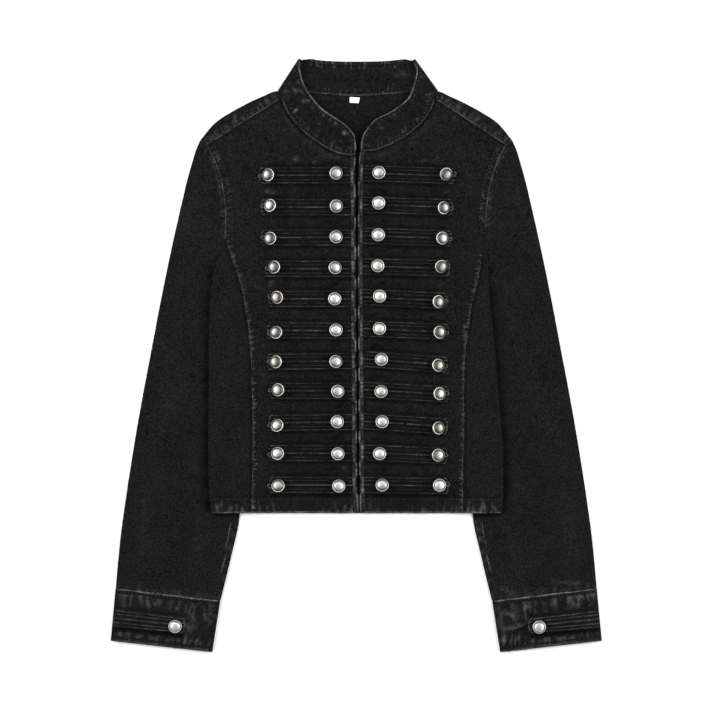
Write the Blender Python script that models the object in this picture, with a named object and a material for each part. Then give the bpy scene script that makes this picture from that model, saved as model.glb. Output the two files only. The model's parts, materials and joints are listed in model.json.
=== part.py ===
"""A cropped denim jacket with a band collar, lying flat on its back, front up.

Each panel is a wall of cloth of its own: the back rests on the surface and is
folded over the shoulders to a seam on the front, the fronts and side fronts lie
on it, and each sleeve is a flattened tube whose inner part runs under the body.
Eleven ribbed bands a side lie across the fronts and end under domed buttons.

Sizes are in millimetres. x runs across the jacket from its middle line, y
towards the collar and z up from the surface. A distance called "out" is
measured from the middle line to either side.
"""
import math
from collections import namedtuple

import bmesh
import bpy
from mathutils import Matrix, Vector

MM = 0.001

# Cloth
DENIM = 1.2            # one layer, the wall of every panel
COLLAR_WALL = 2.4      # two layers
CUFF_WALL = 2.0
SEAM = 0.3             # clearance where two pieces meet
SLANT_SEAM = 0.42      # and where they meet on a slant
LYING = 0.6            # least upright share of the normal of cloth that lies flat

# Body, lengthwise
HEM_Y = -183.5
HEM_DEPTH = 18.5       # turned-up hem
HEM_EXTRA = 0.8        # what the turn adds to the wall
PANEL_ROWS = 12        # rows of a front panel above the hem
STEP = 1.5             # width of a stitched step in a wall
NECK_STEP = 1.1        # the body's fold stops this far short of the collar's
LEAST_FOLD = 1.9       # depth in plan of the tightest fold
HALF_TURN = (-90, -45, 0, 45, 90)  # degrees round a fold, from its lower layer to its upper
BEND_FROM = 0.55       # share of a side front's rows above which they bend to the armhole
COLLAR_LAYERS = 4      # points from the neck seam to the collar's top edge

# How the layers lie on each other
PRESSED_SLEEVE = 0.5   # inside a sleeve where the body lies on it
SLEEVE_CLEAR = 0.4     # between the sleeve and the body on it
OPEN_SLEEVE = 2.3      # inside a sleeve beside the body
OPENS_BESIDE = (9.0, 32.0)  # out from the body's edge, where a sleeve starts to open and is open
OPENS_BELOW = 26.0     # how far below the hem it is open
HEM_REST = 1.0         # below the hem, where it starts to open there
UNDERARM_EASE = 0.9    # added inside it at the armpit
UNDERARM_EASE_REACH = 30.0  # how far round the armpit
BODY_OVER_SLEEVE = 2 * DENIM + PRESSED_SLEEVE + SLEEVE_CLEAR
SLEEVE_MARGIN = 5.0    # the body is fully raised this far before the sleeve's edge
UNDERARM_MARGIN = 8.0  # and this much further below the armpit
UNDERARM_LOW, UNDERARM_HIGH = 50.0, 75.0  # heights between which that comes in
RAMP = 20.0            # width over which the body climbs onto a sleeve
RAMP_FOOT = 108.5      # the least distance out at which it begins
FOOT_SHARES = (0.08, 0.25)  # least and most of a front's width that its close columns take
FRONT_REST = 0.4       # between front and back at the side seams
FRONT_EASE = 0.7       # added inside the body, away from the side seams
EASE_WIDTH = 38.0      # how far inside them it is reached
CHEST_EASE = 2.2       # added towards the shoulders
CHEST_TOP = 240.0      # height at which it is all there
RAMP_EASE = 2.2        # added where both layers climb onto a sleeve
CLIMB_END = 40.0       # how far above the armpit the body is down again
SLOPE_PAST_ARMPIT = 0.8  # outward run of the front's ease above the armpit
OPEN_PAST_ARMPIT = 2.0   # inward run of the sleeve's ease above the armpit

# Bands and buttons
BAND_HEIGHT = 20.8
BAND_TIP = 10.5        # from the outer button's middle to the band's end
TIP_CHAMFER = 4.5      # cut off the corners of a band's end
RIBS = 5
RIB_PITCH = 4.45
RIB_CREST = 2.2        # band thickness on a rib
RIB_GROOVE = 1.5       # in the stitched groove beside it
RIB_EDGE = 1.3         # and at the band's long edges
EDGE_STRIP = 5.5       # folded strip along the front edge that joins the bands
EDGE_WAVE = 0.45       # how far the strip swings in and out between the bands
STRIP_END = 2.5        # from the hem's stitching to the strip's lower end
STRIP_TOP = 1.2        # from the neck seam to its upper end
BUTTON_RADIUS = 7.6
SHANK_RADIUS = 3.2
SHANK = 2.0
RIM_HEIGHT = 3.4       # from the shank's foot to the button's widest place
BUTTON_HEIGHT = 6.3
BUTTON_SIDES = 10

LEFT, RIGHT = "left", "right"
SIGN = {LEFT: -1, RIGHT: 1}

# Half widths, one row for each height on the body or sleeve.
Width = namedtuple("Width", "y left right")

SIDE_EDGE = [
    Width(-183.5, 167.5, 168.5),
    Width(-166.0, 170.0, 170.2),
    Width(-123.0, 171.5, 170.8),
    Width(-90.0, 171.5, 169.0),
    Width(-38.0, 171.3, 164.5),
    Width(20.0, 171.0, 159.6),
    Width(59.0, 169.8, 155.5),
    Width(85.0, 168.0, 153.6),
    Width(106.0, 164.0, 152.6),
    Width(112.0, 162.0, 152.5),
]
PRINCESS = [
    Width(-183.5, 122.0, 124.5),
    Width(-140.0, 121.0, 124.5),
    Width(-90.0, 120.5, 125.5),
    Width(-38.0, 121.5, 125.5),
    Width(4.0, 123.0, 127.5),
    Width(38.0, 126.5, 131.5),
    Width(62.0, 130.5, 135.5),
    Width(82.0, 134.5, 140.0),
    Width(100.0, 140.5, 144.0),
    Width(118.0, 146.8, 147.2),
    Width(136.0, 153.2, 149.9),
]
SLEEVE_OUTER = [
    Width(-270.4, 279.5, 279.5),
    Width(-226.0, 275.5, 275.5),
    Width(-168.0, 268.0, 268.0),
    Width(-110.0, 259.0, 259.0),
    Width(-52.0, 249.0, 249.0),
    Width(6.0, 238.0, 238.0),
    Width(64.0, 227.0, 227.0),
    Width(122.0, 215.0, 215.0),
    Width(180.0, 202.0, 202.0),
    Width(203.0, 196.5, 196.5),
    Width(226.0, 190.0, 190.0),
    Width(240.0, 185.6, 185.6),
    Width(250.4, 180.6, 180.6),
]
SLEEVE_INNER = [
    Width(-284.9, 157.6, 157.6),
    Width(-243.0, 147.6, 147.6),
    Width(-215.0, 140.6, 140.6),
    Width(-187.0, 135.5, 135.5),
    Width(-130.0, 133.0, 133.0),
    Width(-80.0, 133.0, 133.0),
    Width(-30.0, 133.5, 133.5),
    Width(20.0, 137.0, 134.5),
    Width(50.0, 145.0, 138.0),
    Width(68.0, 154.0, 144.0),
    Width(80.0, 163.0, 149.5),
    Width(90.0, 168.4, 154.0),
    Width(98.0, 167.8, 155.4),
    Width(106.0, 164.6, 154.8),
    Width(112.0, 162.6, 153.1),
]
FRONT_EDGE = [
    Width(-183.5, -2.6, 4.9),
    Width(-157.0, -1.0, 4.5),
    Width(-110.0, -0.3, 3.8),
    Width(-52.0, -0.1, 3.4),
    Width(29.0, 0.7, 2.8),
    Width(110.0, 0.9, 2.4),
    Width(180.0, 1.3, 2.6),
    Width(214.0, 1.9, 3.1),
    Width(231.8, 1.1, 4.4),
    Width(236.8, 1.1, 5.0),
]

# The armhole seam, from the shoulder fold down to the armpit.
Seam = namedtuple("Seam", "left_out left_y right_out right_y")
ARMHOLE = [
    Seam(180.6, 250.4, 180.6, 250.4),
    Seam(174.3, 243.0, 174.3, 243.0),
    Seam(166.2, 227.5, 166.2, 227.5),
    Seam(159.0, 208.0, 159.0, 208.0),
    Seam(154.4, 184.0, 154.0, 184.0),
    Seam(152.5, 160.0, 151.6, 160.0),
    Seam(153.2, 136.0, 149.9, 136.0),
    Seam(157.3, 120.0, 150.5, 123.0),
    Seam(164.0, 106.0, 152.5, 112.0),
]
PRINCESS_STATION = 6   # row of ARMHOLE where the princess seam ends

# The collar's stations on the top layer, from the front end to the side fold:
# where it is sewn to the neck and where its top edge is.
Station = namedtuple("Station", "seam_out seam_y top_out top_y")
COLLAR_FRONT = {
    LEFT: [
        Station(1.1, 231.8, 0.1, 241.0),
        Station(6.6, 231.8, 1.0, 252.1),
        Station(14.7, 232.9, 6.0, 261.6),
        Station(26.3, 236.4, 14.7, 269.5),
        Station(41.4, 244.5, 27.4, 278.2),
        Station(56.4, 255.0, 40.2, 287.1),
        Station(69.2, 267.7, 51.8, 300.2),
        Station(79.6, 281.6, 59.9, 314.1),
        Station(87.2, 297.6, 64.9, 330.0),
    ],
    RIGHT: [
        Station(5.0, 236.8, 5.5, 245.7),
        Station(10.8, 236.8, 7.1, 254.4),
        Station(18.5, 237.2, 11.4, 261.6),
        Station(31.7, 241.0, 22.5, 274.2),
        Station(46.8, 248.0, 36.5, 281.0),
        Station(61.5, 256.8, 50.5, 290.0),
        Station(75.0, 268.8, 60.5, 299.5),
        Station(86.0, 283.0, 66.8, 314.5),
        Station(91.8, 297.0, 69.8, 329.0),
    ],
}
COLLAR_FOLD = {
    LEFT: Station(90.1, 308.3, 66.9, 344.9),
    RIGHT: Station(94.4, 307.6, 68.5, 344.3),
}
# The back of the neck, on the bottom layer; here "out" is plain x.
COLLAR_BACK = [
    Station(-70.0, 304.9, -54.0, 344.2),
    Station(-48.0, 304.2, -38.5, 342.4),
    Station(-24.0, 302.2, -19.5, 341.4),
    Station(0.0, 301.3, 1.0, 341.2),
    Station(24.0, 302.2, 21.5, 341.4),
    Station(48.0, 304.2, 40.5, 342.4),
    Station(70.0, 304.9, 56.0, 344.0),
]

# The shoulder fold from the armhole to the neck, and where the back's rows meet
# its side and its columns meet the hem.
SHOULDER_FOLD = [(180.6, 250.4), (164.0, 269.8), (146.0, 281.9), (128.0, 291.8), (109.0, 300.6)]
BACK_SIDE_Y = [HEM_Y, -165.0, -118.0, -70.0, -25.0, 15.0, 48.0, 78.0]
BACK_HEM_COLUMNS = [151.0, 136.0, 126.0, 118.5, 111.0, 103.5, 70.0, 35.0]

# A sleeve's rows: first one for each station of the armhole, with the height of
# its outer end, then four counted down from the armpit, then the rest.
CAP_OUTER_Y = [250.4, 239.5, 222.0, 200.0, 178.0, 156.0, 138.0, 122.0]
Row = namedtuple("Row", "outer_y inner_y")
UNDERARM_ROWS = [Row(111.0, -8.0), Row(100.0, -16.0), Row(87.0, -27.0), Row(70.0, -42.0)]
SLEEVE_ROWS = [
    Row(48.0, 32.0),
    Row(4.0, -14.0),
    Row(-40.0, -62.0),
    Row(-84.0, -108.0),
    Row(-126.0, -150.0),
    Row(-164.0, -187.0),
    Row(-216.0, -234.0),
    Row(-270.4, -284.9),
]
SLEEVE_COLUMNS = 6     # points across each layer between the folds
SEAM_REACH = 42.0      # how far from the armhole a sleeve takes to come down
UNDERARM_REACH = 17.0  # and at the armpit
REACH_NARROWS = 0.45   # share of the way down the armhole where that begins to narrow
# Soft lengthwise folds in a sleeve's upper layer.
Fold = namedtuple("Fold", "from_out from_y to_out to_y width height")
FOLD_RISES = (-0.05, 0.2)  # shares of its length where a fold rises
FOLD_FALLS = (0.8, 1.05)   # and where it falls away
SLEEVE_FOLDS = [
    Fold(168.0, 214.0, 204.0, 96.0, 13.0, 1.1),
    Fold(205.0, 66.0, 236.0, -120.0, 14.0, 1.0),
    Fold(184.0, -30.0, 206.0, -228.0, 13.0, 0.9),
]

# The cuff's corners: where it is sewn to the sleeve and where it ends.
Corners = namedtuple("Corners", "seam_out seam_out_y seam_in seam_in_y end_out end_out_y end_in end_in_y")
CUFF = Corners(279.6, -270.8, 157.9, -285.3, 285.4, -331.7, 167.2, -344.9)
CUFF_INSIDE = 1.2      # between the cuff's two walls
CUFF_RINGS = 4
TAB_STATIONS = 4
Tab = namedtuple("Tab", "start_out start_y end_out end_y start_height end_height")
CUFF_TAB = {
    LEFT: Tab(281.6, -305.0, 197.8, -314.2, 21.5, 18.5),
    RIGHT: Tab(281.8, -306.0, 199.6, -314.6, 21.5, 18.5),
}
CUFF_BUTTON = {LEFT: (209.9, -314.4), RIGHT: (212.2, -315.2)}

# The button's outline from its shank's foot to its middle.
Turn = namedtuple("Turn", "radius height")
BUTTON_OUTLINE = [
    Turn(0.0, 0.0),
    Turn(SHANK_RADIUS, 0.0),
    Turn(SHANK_RADIUS, SHANK),
    Turn(7.0, 2.3),
    Turn(BUTTON_RADIUS, RIM_HEIGHT),
    Turn(5.2, 5.6),
    Turn(0.0, BUTTON_HEIGHT),
]
# The middle of each button's rim, one row for each band.
Buttons = namedtuple("Buttons", "left_outer left_outer_y left_inner left_inner_y "
                                "right_inner right_inner_y right_outer right_outer_y")
BUTTONS = [
    Buttons(102.2, 208.9, 23.3, 211.0, 26.3, 211.7, 104.2, 209.7),
    Buttons(100.0, 173.6, 23.1, 172.8, 26.0, 176.3, 101.5, 170.8),
    Buttons(99.9, 135.5, 23.3, 137.2, 25.5, 139.5, 99.9, 135.7),
    Buttons(95.2, 102.1, 24.5, 101.5, 25.0, 103.7, 98.5, 102.8),
    Buttons(91.9, 67.0, 24.9, 65.3, 27.1, 68.4, 95.4, 62.0),
    Buttons(93.0, 26.5, 23.4, 29.3, 26.9, 31.0, 96.8, 26.7),
    Buttons(93.3, -7.7, 23.6, -7.3, 29.2, -4.8, 95.2, -11.6),
    Buttons(90.8, -40.2, 21.4, -41.9, 28.8, -42.0, 96.7, -44.6),
    Buttons(91.7, -81.3, 21.9, -77.1, 30.1, -77.1, 95.5, -84.4),
    Buttons(91.3, -113.9, 21.2, -114.3, 27.2, -114.1, 95.3, -115.9),
    Buttons(90.6, -151.3, 20.2, -151.6, 30.1, -150.5, 96.7, -150.9),
]
# How far each of them leans on its shank, in degrees: the outer ones outwards, the inner
# ones towards the front edges, and all of them up the jacket.
Leans = namedtuple("Leans", "left_outer left_outer_up left_inner left_inner_up "
                            "right_inner right_inner_up right_outer right_outer_up")
LEANS = [
    Leans(24, 0, 10, 0, 8, 4, 18, -14),
    Leans(24, 4, 12, 2, 4, 0, 24, 0),
    Leans(20, 3, 9, 3, 5, 0, 20, 0),
    Leans(24, 0, 13, 4, 7, 0, 20, -12),
    Leans(22, -3, 4, 1, 4, 3, 28, 0),
    Leans(20, 8, 4, 6, 2, 7, 21, 0),
    Leans(21, 2, 10, 8, 5, 6, 22, 6),
    Leans(18, 2, 8, 3, 3, 9, 22, 2),
    Leans(18, 13, 8, 4, 3, 8, 25, 3),
    Leans(12, 8, 8, 5, 3, 8, 12, 0),
    Leans(6, 12, 6, 8, 3, 9, 6, 2),
]
# The height of each band's middle line; those on the right fall a little
# towards their ends.
Band = namedtuple("Band", "left_front_y left_end_y right_front_y right_end_y")
BANDS = [
    Band(208.8, 208.6, 211.4, 207.7),
    Band(171.5, 172.0, 174.6, 171.8),
    Band(136.6, 136.6, 138.8, 135.4),
    Band(100.2, 100.4, 103.2, 100.8),
    Band(65.3, 65.5, 67.6, 63.0),
    Band(28.4, 29.0, 31.0, 26.8),
    Band(-6.8, -7.6, -4.2, -11.3),
    Band(-41.8, -41.2, -40.0, -45.6),
    Band(-77.6, -78.6, -76.6, -83.0),
    Band(-114.0, -113.6, -113.0, -117.0),
    Band(-151.0, -150.4, -150.6, -152.0),
]


# ---------------------------------------------------------------- small helpers

def ease(low, high, value):
    """0 below low, 1 above high, and smooth between."""
    share = min(max((value - low) / (high - low), 0.0), 1.0)
    return share * share * (3.0 - 2.0 * share)


def mix(a, b, share):
    return a + (b - a) * share


def table_at(rows, column, y):
    """A column of a table read at a height, on a smooth curve through its rows."""
    heights = [row.y for row in rows]
    values = [getattr(row, column) for row in rows]
    y = min(max(y, heights[0]), heights[-1])
    i = next(k for k in range(len(rows) - 1) if y <= heights[k + 1])

    def slope(k):
        below, above = max(k - 1, 0), min(k + 1, len(rows) - 1)
        return (values[above] - values[below]) / (heights[above] - heights[below])

    span = heights[i + 1] - heights[i]
    t = (y - heights[i]) / span
    return (values[i] * (1 + 2 * t) * (1 - t) ** 2 + slope(i) * span * t * (1 - t) ** 2
            + values[i + 1] * t * t * (3 - 2 * t) + slope(i + 1) * span * t * t * (t - 1))


def spread(start, end, count):
    """Evenly spaced values with both ends."""
    return [mix(start, end, k / (count - 1)) for k in range(count)]


def split(points, parts):
    """A line of points with each stretch divided into equal parts."""
    fine = [points[0]]
    for a, b in zip(points, points[1:]):
        fine += [a.lerp(b, k / parts) for k in range(1, parts + 1)]
    return fine


def armhole(side):
    """The armhole seam as points in plan, from the shoulder fold to the armpit."""
    return [Vector((SIGN[side] * getattr(row, side + "_out"), getattr(row, side + "_y")))
            for row in ARMHOLE]


def moved(line, distance, towards):
    """A line of points in plan, moved square to itself towards a place."""
    result = []
    for k, point in enumerate(line):
        before, after = line[max(k - 1, 0)], line[min(k + 1, len(line) - 1)]
        run = (after - before).normalized()
        square = Vector((run.y, -run.x))
        if square.dot(towards - point) < 0:
            square.negate()
        result.append(point + square * distance)
    return result


def at_height(rows, side, y):
    return Vector((SIGN[side] * table_at(rows, side, y), y))


def outside_of(side):
    """A place far out on one side, at the height of the shoulders."""
    return Vector((SIGN[side] * 1000.0, 300.0))


# ---------------------------------------------------------------- how high cloth lies

def side_of(x):
    return LEFT if x < 0 else RIGHT


def armpit(side):
    return armhole(side)[-1]


def climb(x, y):
    """0 where the body lies on the surface, 1 where it lies on a sleeve."""
    side = side_of(x)
    pit = armpit(side).y
    reach = table_at(SLEEVE_INNER, side, min(y, pit)) - SLEEVE_MARGIN
    reach -= UNDERARM_MARGIN * ease(UNDERARM_LOW, UNDERARM_HIGH, y)
    across = ease(reach - RAMP, reach, abs(x))
    return across * (1.0 - ease(pit, pit + CLIMB_END, y))


def under_back(x, y):
    """Height of the back's underside."""
    return BODY_OVER_SLEEVE * climb(x, y)


def under_front(x, y):
    """Height of the underside of the layer that lies on the back."""
    side = side_of(x)
    pit = armpit(side).y
    edge = table_at(SIDE_EDGE, side, min(y, pit)) + SLOPE_PAST_ARMPIT * max(y - pit, 0.0)
    inside = ease(0.0, EASE_WIDTH, edge - abs(x))
    fullness = FRONT_REST + inside * (FRONT_EASE + CHEST_EASE * ease(0.0, CHEST_TOP, y))
    ramp = climb(x, y)
    return under_back(x, y) + DENIM + fullness + RAMP_EASE * ramp * (1.0 - ramp)


def sleeve_fold_height(x, y):
    """What the soft folds add to a sleeve's upper layer."""
    height = 0.0
    for fold in SLEEVE_FOLDS:
        start = Vector((fold.from_out, fold.from_y))
        run = Vector((fold.to_out, fold.to_y)) - start
        place = Vector((abs(x), y)) - start
        along = place.dot(run) / run.length_squared
        ends = ease(*FOLD_RISES, along) * (1.0 - ease(*FOLD_FALLS, along))
        away = abs(place.cross(run)) / run.length
        height += fold.height * ends * math.exp(-(away / fold.width) ** 2)
    return height


def inside_sleeve(x, y):
    """Clearance between a sleeve's two layers: pressed under the body, open beside it."""
    side = side_of(x)
    pit = armpit(side).y
    cover = table_at(SIDE_EDGE, side, min(y, pit)) - OPEN_PAST_ARMPIT * max(y - pit, 0.0)
    beside = ease(*OPENS_BESIDE, abs(x) - cover)
    below = ease(0.0, OPENS_BELOW, HEM_Y - HEM_REST - y)
    free = max(beside, below)
    away = (Vector((x, y)) - armpit(side)).length
    puff = UNDERARM_EASE * (1.0 - ease(0.0, UNDERARM_EASE_REACH, away))
    return puff + mix(PRESSED_SLEEVE, OPEN_SLEEVE + sleeve_fold_height(x, y), free)


# ---------------------------------------------------------------- making solids

def grid_cells(rows, columns, closed, keep):
    spans = columns if closed else columns - 1
    return [(r, c) for r in range(rows - 1) for c in range(spans) if keep is None or keep(r, c)]


def grid_normals(points, cells, closed):
    """The normal at each grid point, from the cells that meet there.

    On an open edge of a layer that lies flat it is turned square to the way the
    cloth arrives in plan, so that every edge stands upright beside its neighbour.
    """
    columns = len(points[0])
    kept = set(cells)
    sums = [[Vector() for _ in row] for row in points]
    arrivals = {}
    for r, c in cells:
        d = (c + 1) % columns
        facing = (points[r + 1][d] - points[r][c]).cross(points[r + 1][c] - points[r][d]).normalized()
        for i, j in ((r, c), (r, d), (r + 1, c), (r + 1, d)):
            sums[i][j] += facing
        before, after = ((c - 1) % columns, d) if closed else (c - 1, c + 1)
        down = ((r, c), (r + 1, c)), ((r, d), (r + 1, d))
        across = ((r, c), (r, d)), ((r + 1, c), (r + 1, d))
        for neighbour, near, pairs in (((r - 1, c), 0, down), ((r + 1, c), 1, down),
                                       ((r, before), 0, across), ((r, after), 1, across)):
            if neighbour not in kept:
                for pair in pairs:
                    run = points[pair[1][0]][pair[1][1]] - points[pair[0][0]][pair[0][1]]
                    arrivals.setdefault(pair[near], []).append(Vector((run.x, run.y, 0)).normalized())
    for (i, j), runs in arrivals.items():
        lying = abs(sums[i][j].z) > LYING * sums[i][j].length
        for run in runs if lying else ():
            sums[i][j] -= run * sums[i][j].dot(run)
    return [[total.normalized() if total.length else Vector((0, 0, 1)) for total in row]
            for row in sums]


def wall_between(name, under, over, material, closed=False, keep=None):
    """A closed solid between two matching grids of points."""
    rows, columns = len(under), len(under[0])
    cells = grid_cells(rows, columns, closed, keep)
    kept = set(cells)
    bm = bmesh.new()
    low = [[bm.verts.new(point * MM) for point in row] for row in under]
    high = [[bm.verts.new(point * MM) for point in row] for row in over]

    def rim(a, b):
        bm.faces.new((high[a[0]][a[1]], low[a[0]][a[1]], low[b[0]][b[1]], high[b[0]][b[1]]))

    for r, c in cells:
        d = (c + 1) % columns
        bm.faces.new((high[r][c], high[r][d], high[r + 1][d], high[r + 1][c]))
        bm.faces.new((low[r][c], low[r + 1][c], low[r + 1][d], low[r][d]))
        before = (c - 1) % columns if closed else c - 1
        if (r - 1, c) not in kept:
            rim((r, c), (r, d))
        if (r + 1, c) not in kept:
            rim((r + 1, d), (r + 1, c))
        if (r, before) not in kept:
            rim((r + 1, c), (r, c))
        if (r, d if closed else c + 1) not in kept:
            rim((r, d), (r + 1, d))
    loose = [vert for vert in bm.verts if not vert.link_faces]
    bmesh.ops.delete(bm, geom=loose, context="VERTS")
    bmesh.ops.recalc_face_normals(bm, faces=bm.faces)
    return add_object(name, bm, material)


def cloth_wall(name, middle, thickness, material, closed=False, keep=None, raised=None):
    """A wall of cloth round its middle surface. raised(row) adds to the outer side."""
    cells = grid_cells(len(middle), len(middle[0]), closed, keep)
    normals = grid_normals(middle, cells, closed)
    upward = sum(normal.z for row in normals for normal in row) >= 0 or closed
    flip = 1 if upward else -1
    half = thickness / 2
    under = [[p - n * flip * half for p, n in zip(*pair)] for pair in zip(middle, normals)]
    over = [[p + n * flip * (half + (raised(r) if raised else 0.0)) for p, n in zip(*pair)]
            for r, pair in enumerate(zip(middle, normals))]
    return wall_between(name, under, over, material, closed, keep)


def add_object(name, bm, material):
    mesh = bpy.data.meshes.new(name)
    bm.to_mesh(mesh)
    bm.free()
    mesh.shade_smooth()
    mesh.set_sharp_from_angle(angle=math.radians(40))
    mesh.materials.append(material)
    obj = bpy.data.objects.new(name, mesh)
    bpy.context.scene.collection.objects.link(obj)
    return obj


def finish(name, colour, roughness, metallic=0.0):
    material = bpy.data.materials.new(name)
    material.use_nodes = True
    shader = material.node_tree.nodes["Principled BSDF"]
    shader.inputs["Base Color"].default_value = (*colour, 1.0)
    shader.inputs["Roughness"].default_value = roughness
    shader.inputs["Metallic"].default_value = metallic
    return material


# ---------------------------------------------------------------- back

def shoulder_line(side):
    """The shoulder fold and the shoulder seam, point by point from armhole to neck."""
    fold = [Vector((SIGN[side] * out, y)) for out, y in SHOULDER_FOLD]
    neck = [Vector((SIGN[side] * row.seam_out, row.seam_y))
            for row in (COLLAR_FOLD[side], COLLAR_FRONT[side][-1])]
    beside_neck, inner = moved(neck, SLANT_SEAM, outside_of(side))
    fold.append(beside_neck - Vector((0.0, NECK_STEP)))
    outer = armhole(side)[1]
    seam = [outer.lerp(inner, k / (len(fold) - 1)) for k in range(len(fold))]
    return list(zip(fold, seam))


def fold_points(edge, inward, low, high, wall, angles):
    """Middle-surface points round a fold whose outside reaches edge."""
    radius = (high - low) / 2
    depth = max(radius, LEAST_FOLD)
    points = []
    for angle in angles:
        inset = wall / 2 + depth * (1 - math.cos(math.radians(angle)))
        height = (low + high) / 2 + radius * math.sin(math.radians(angle))
        place = edge + inward * inset
        points.append(Vector((place.x, place.y, height)))
    return points


def shoulder_wrap(side):
    """For each column over a shoulder, the points from the low layer round to the seam."""
    columns = []
    for edge, seam in shoulder_line(side):
        inward = (seam - edge).normalized()
        high = under_front(edge.x, edge.y) + DENIM / 2
        points = fold_points(edge, inward, DENIM / 2, high, DENIM, HALF_TURN)
        stop = seam - inward * SEAM
        points.append(Vector((stop.x, stop.y, under_front(seam.x, seam.y) + DENIM / 2)))
        columns.append(points)
    return columns


def body_edge(side):
    """The back's side from the hem to the armpit and on up the armhole."""
    side_points = [at_height(SIDE_EDGE, side, y) for y in BACK_SIDE_Y]
    return side_points + list(reversed(armhole(side)[1:]))


def make_back(material):
    wraps = {side: shoulder_wrap(side) for side in (LEFT, RIGHT)}
    hem = [Vector((-table_at(SIDE_EDGE, LEFT, HEM_Y), HEM_Y))]
    hem += [Vector((-out, HEM_Y)) for out in BACK_HEM_COLUMNS] + [Vector((0.0, HEM_Y))]
    hem += [Vector((out, HEM_Y)) for out in reversed(BACK_HEM_COLUMNS)]
    hem += [Vector((table_at(SIDE_EDGE, RIGHT, HEM_Y), HEM_Y))]

    shoulder = {side: [column[0].xy for column in wraps[side]] for side in wraps}
    neck = [Vector((row.seam_out, row.seam_y - SLANT_SEAM)) for row in COLLAR_BACK]
    top = shoulder[LEFT] + neck + list(reversed(shoulder[RIGHT]))

    left = body_edge(LEFT) + [top[0]]
    right = body_edge(RIGHT) + [top[-1]]
    count = len(left) - 1
    rows = []
    for r, (a, b) in enumerate(zip(left, right)):
        v = ((a.y + b.y) / 2 - HEM_Y) / (top[0].y - HEM_Y) if r < count else 1.0
        row = []
        for low, high in zip(hem, top):
            u = (low.x - hem[0].x) / (hem[-1].x - hem[0].x)
            corners = (hem[0].lerp(hem[-1], u)).lerp(top[0].lerp(top[-1], u), v)
            place = low.lerp(high, v) + a.lerp(b, u) - corners
            row.append(Vector((place.x, place.y, under_back(place.x, place.y) + DENIM / 2)))
        rows.append(row)

    main = len(rows) - 1
    shoulders = len(SHOULDER_FOLD)
    spans = len(top) - 1
    for step in range(1, len(wraps[LEFT][0])):
        row = [column[step] for column in wraps[LEFT]]
        row += [Vector((place.x, place.y + step, DENIM / 2)) for place in neck]
        row += [column[step] for column in reversed(wraps[RIGHT])]
        rows.append(row)

    def keep(r, c):
        return r < main or c < shoulders or c >= spans - shoulders

    return cloth_wall("back", rows, DENIM, material, keep=keep)


# ---------------------------------------------------------------- fronts

def princess_heights(side):
    """Rows that a front and its side front share, from the hem to the armhole."""
    stitch = HEM_Y + HEM_DEPTH
    top = armhole(side)[PRINCESS_STATION].y
    return [HEM_Y, stitch, stitch + STEP] + spread(stitch + STEP, top, PANEL_ROWS)[1:]


def princess_line(side, away):
    """The princess seam in plan, moved away from the middle line."""
    shift = Vector((SIGN[side] * away, 0.0))
    return [at_height(PRINCESS, side, y) + shift for y in princess_heights(side)]


def hem_raise(r):
    return HEM_EXTRA if r <= 1 else 0.0


def on_front(place):
    return Vector((place.x, place.y, under_front(place.x, place.y) + DENIM / 2))


def front_columns(outer, inner):
    """Shares of the way across a row, close together where it climbs onto the sleeve."""
    foot = (abs(outer.x) - RAMP_FOOT) / abs(outer.x - inner.x)
    foot = min(max(foot, FOOT_SHARES[0]), FOOT_SHARES[1])
    return spread(0.0, foot, 4) + spread(foot, 1.0, 4)[1:]


def make_front(side, material):
    """The centre front: hem, princess seam, armhole, shoulder seam, neck and front edge."""
    seam_shift = Vector((SIGN[side] * SEAM / 2, 0.0))
    outer = princess_line(side, -SEAM / 2)
    station = armhole(side)[1:PRINCESS_STATION + 1]
    outer += [point - seam_shift for point in split(list(reversed(station)), 2)[1:]]

    stations = COLLAR_FRONT[side]
    neck = [Vector((SIGN[side] * row.seam_out, row.seam_y)) for row in stations]
    neck = moved(neck, SEAM, Vector((neck[-1].x, HEM_Y)))
    heights = princess_heights(side)
    rest = len(outer) - len(heights) - len(neck) + 1
    heights += spread(heights[-1], neck[0].y, rest + 1)[1:-1]
    inner = [at_height(FRONT_EDGE, side, y) for y in heights] + neck

    rows = [[on_front(a.lerp(b, u)) for u in front_columns(a, b)] for a, b in zip(outer, inner)]
    return cloth_wall("front_" + side, rows, DENIM, material, raised=hem_raise)


def make_side_front(side, material):
    """The side front, between the princess seam and the side seam."""
    inner = princess_line(side, SEAM / 2)
    pit = armpit(side)
    stitch = HEM_Y + HEM_DEPTH
    heights = [HEM_Y, stitch, stitch + STEP] + spread(stitch + STEP, pit.y, PANEL_ROWS)[1:]
    outer = [at_height(SIDE_EDGE, side, y) for y in heights[:-1]] + [pit]
    top = split(armhole(side)[PRINCESS_STATION:], 2)
    armhole_run, princess_run = (top[1] - top[0]).normalized(), (inner[-1] - inner[-2]).normalized()
    top[0] += armhole_run * SEAM / 2 / abs(armhole_run.cross(princess_run))
    inner[-1] = top[0]
    shares = [k / (len(top) - 1) for k in range(len(top))]
    rows = []
    for r, (a, b) in enumerate(zip(inner, outer)):
        bend = ease(BEND_FROM, 1.0, r / (len(inner) - 1))
        rows.append([on_front(a.lerp(b, u) + (edge - top[0].lerp(top[-1], u)) * bend)
                     for u, edge in zip(shares, top)])
    return cloth_wall("side_front_" + side, rows, DENIM, material, raised=hem_raise)


# ---------------------------------------------------------------- collar

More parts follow.
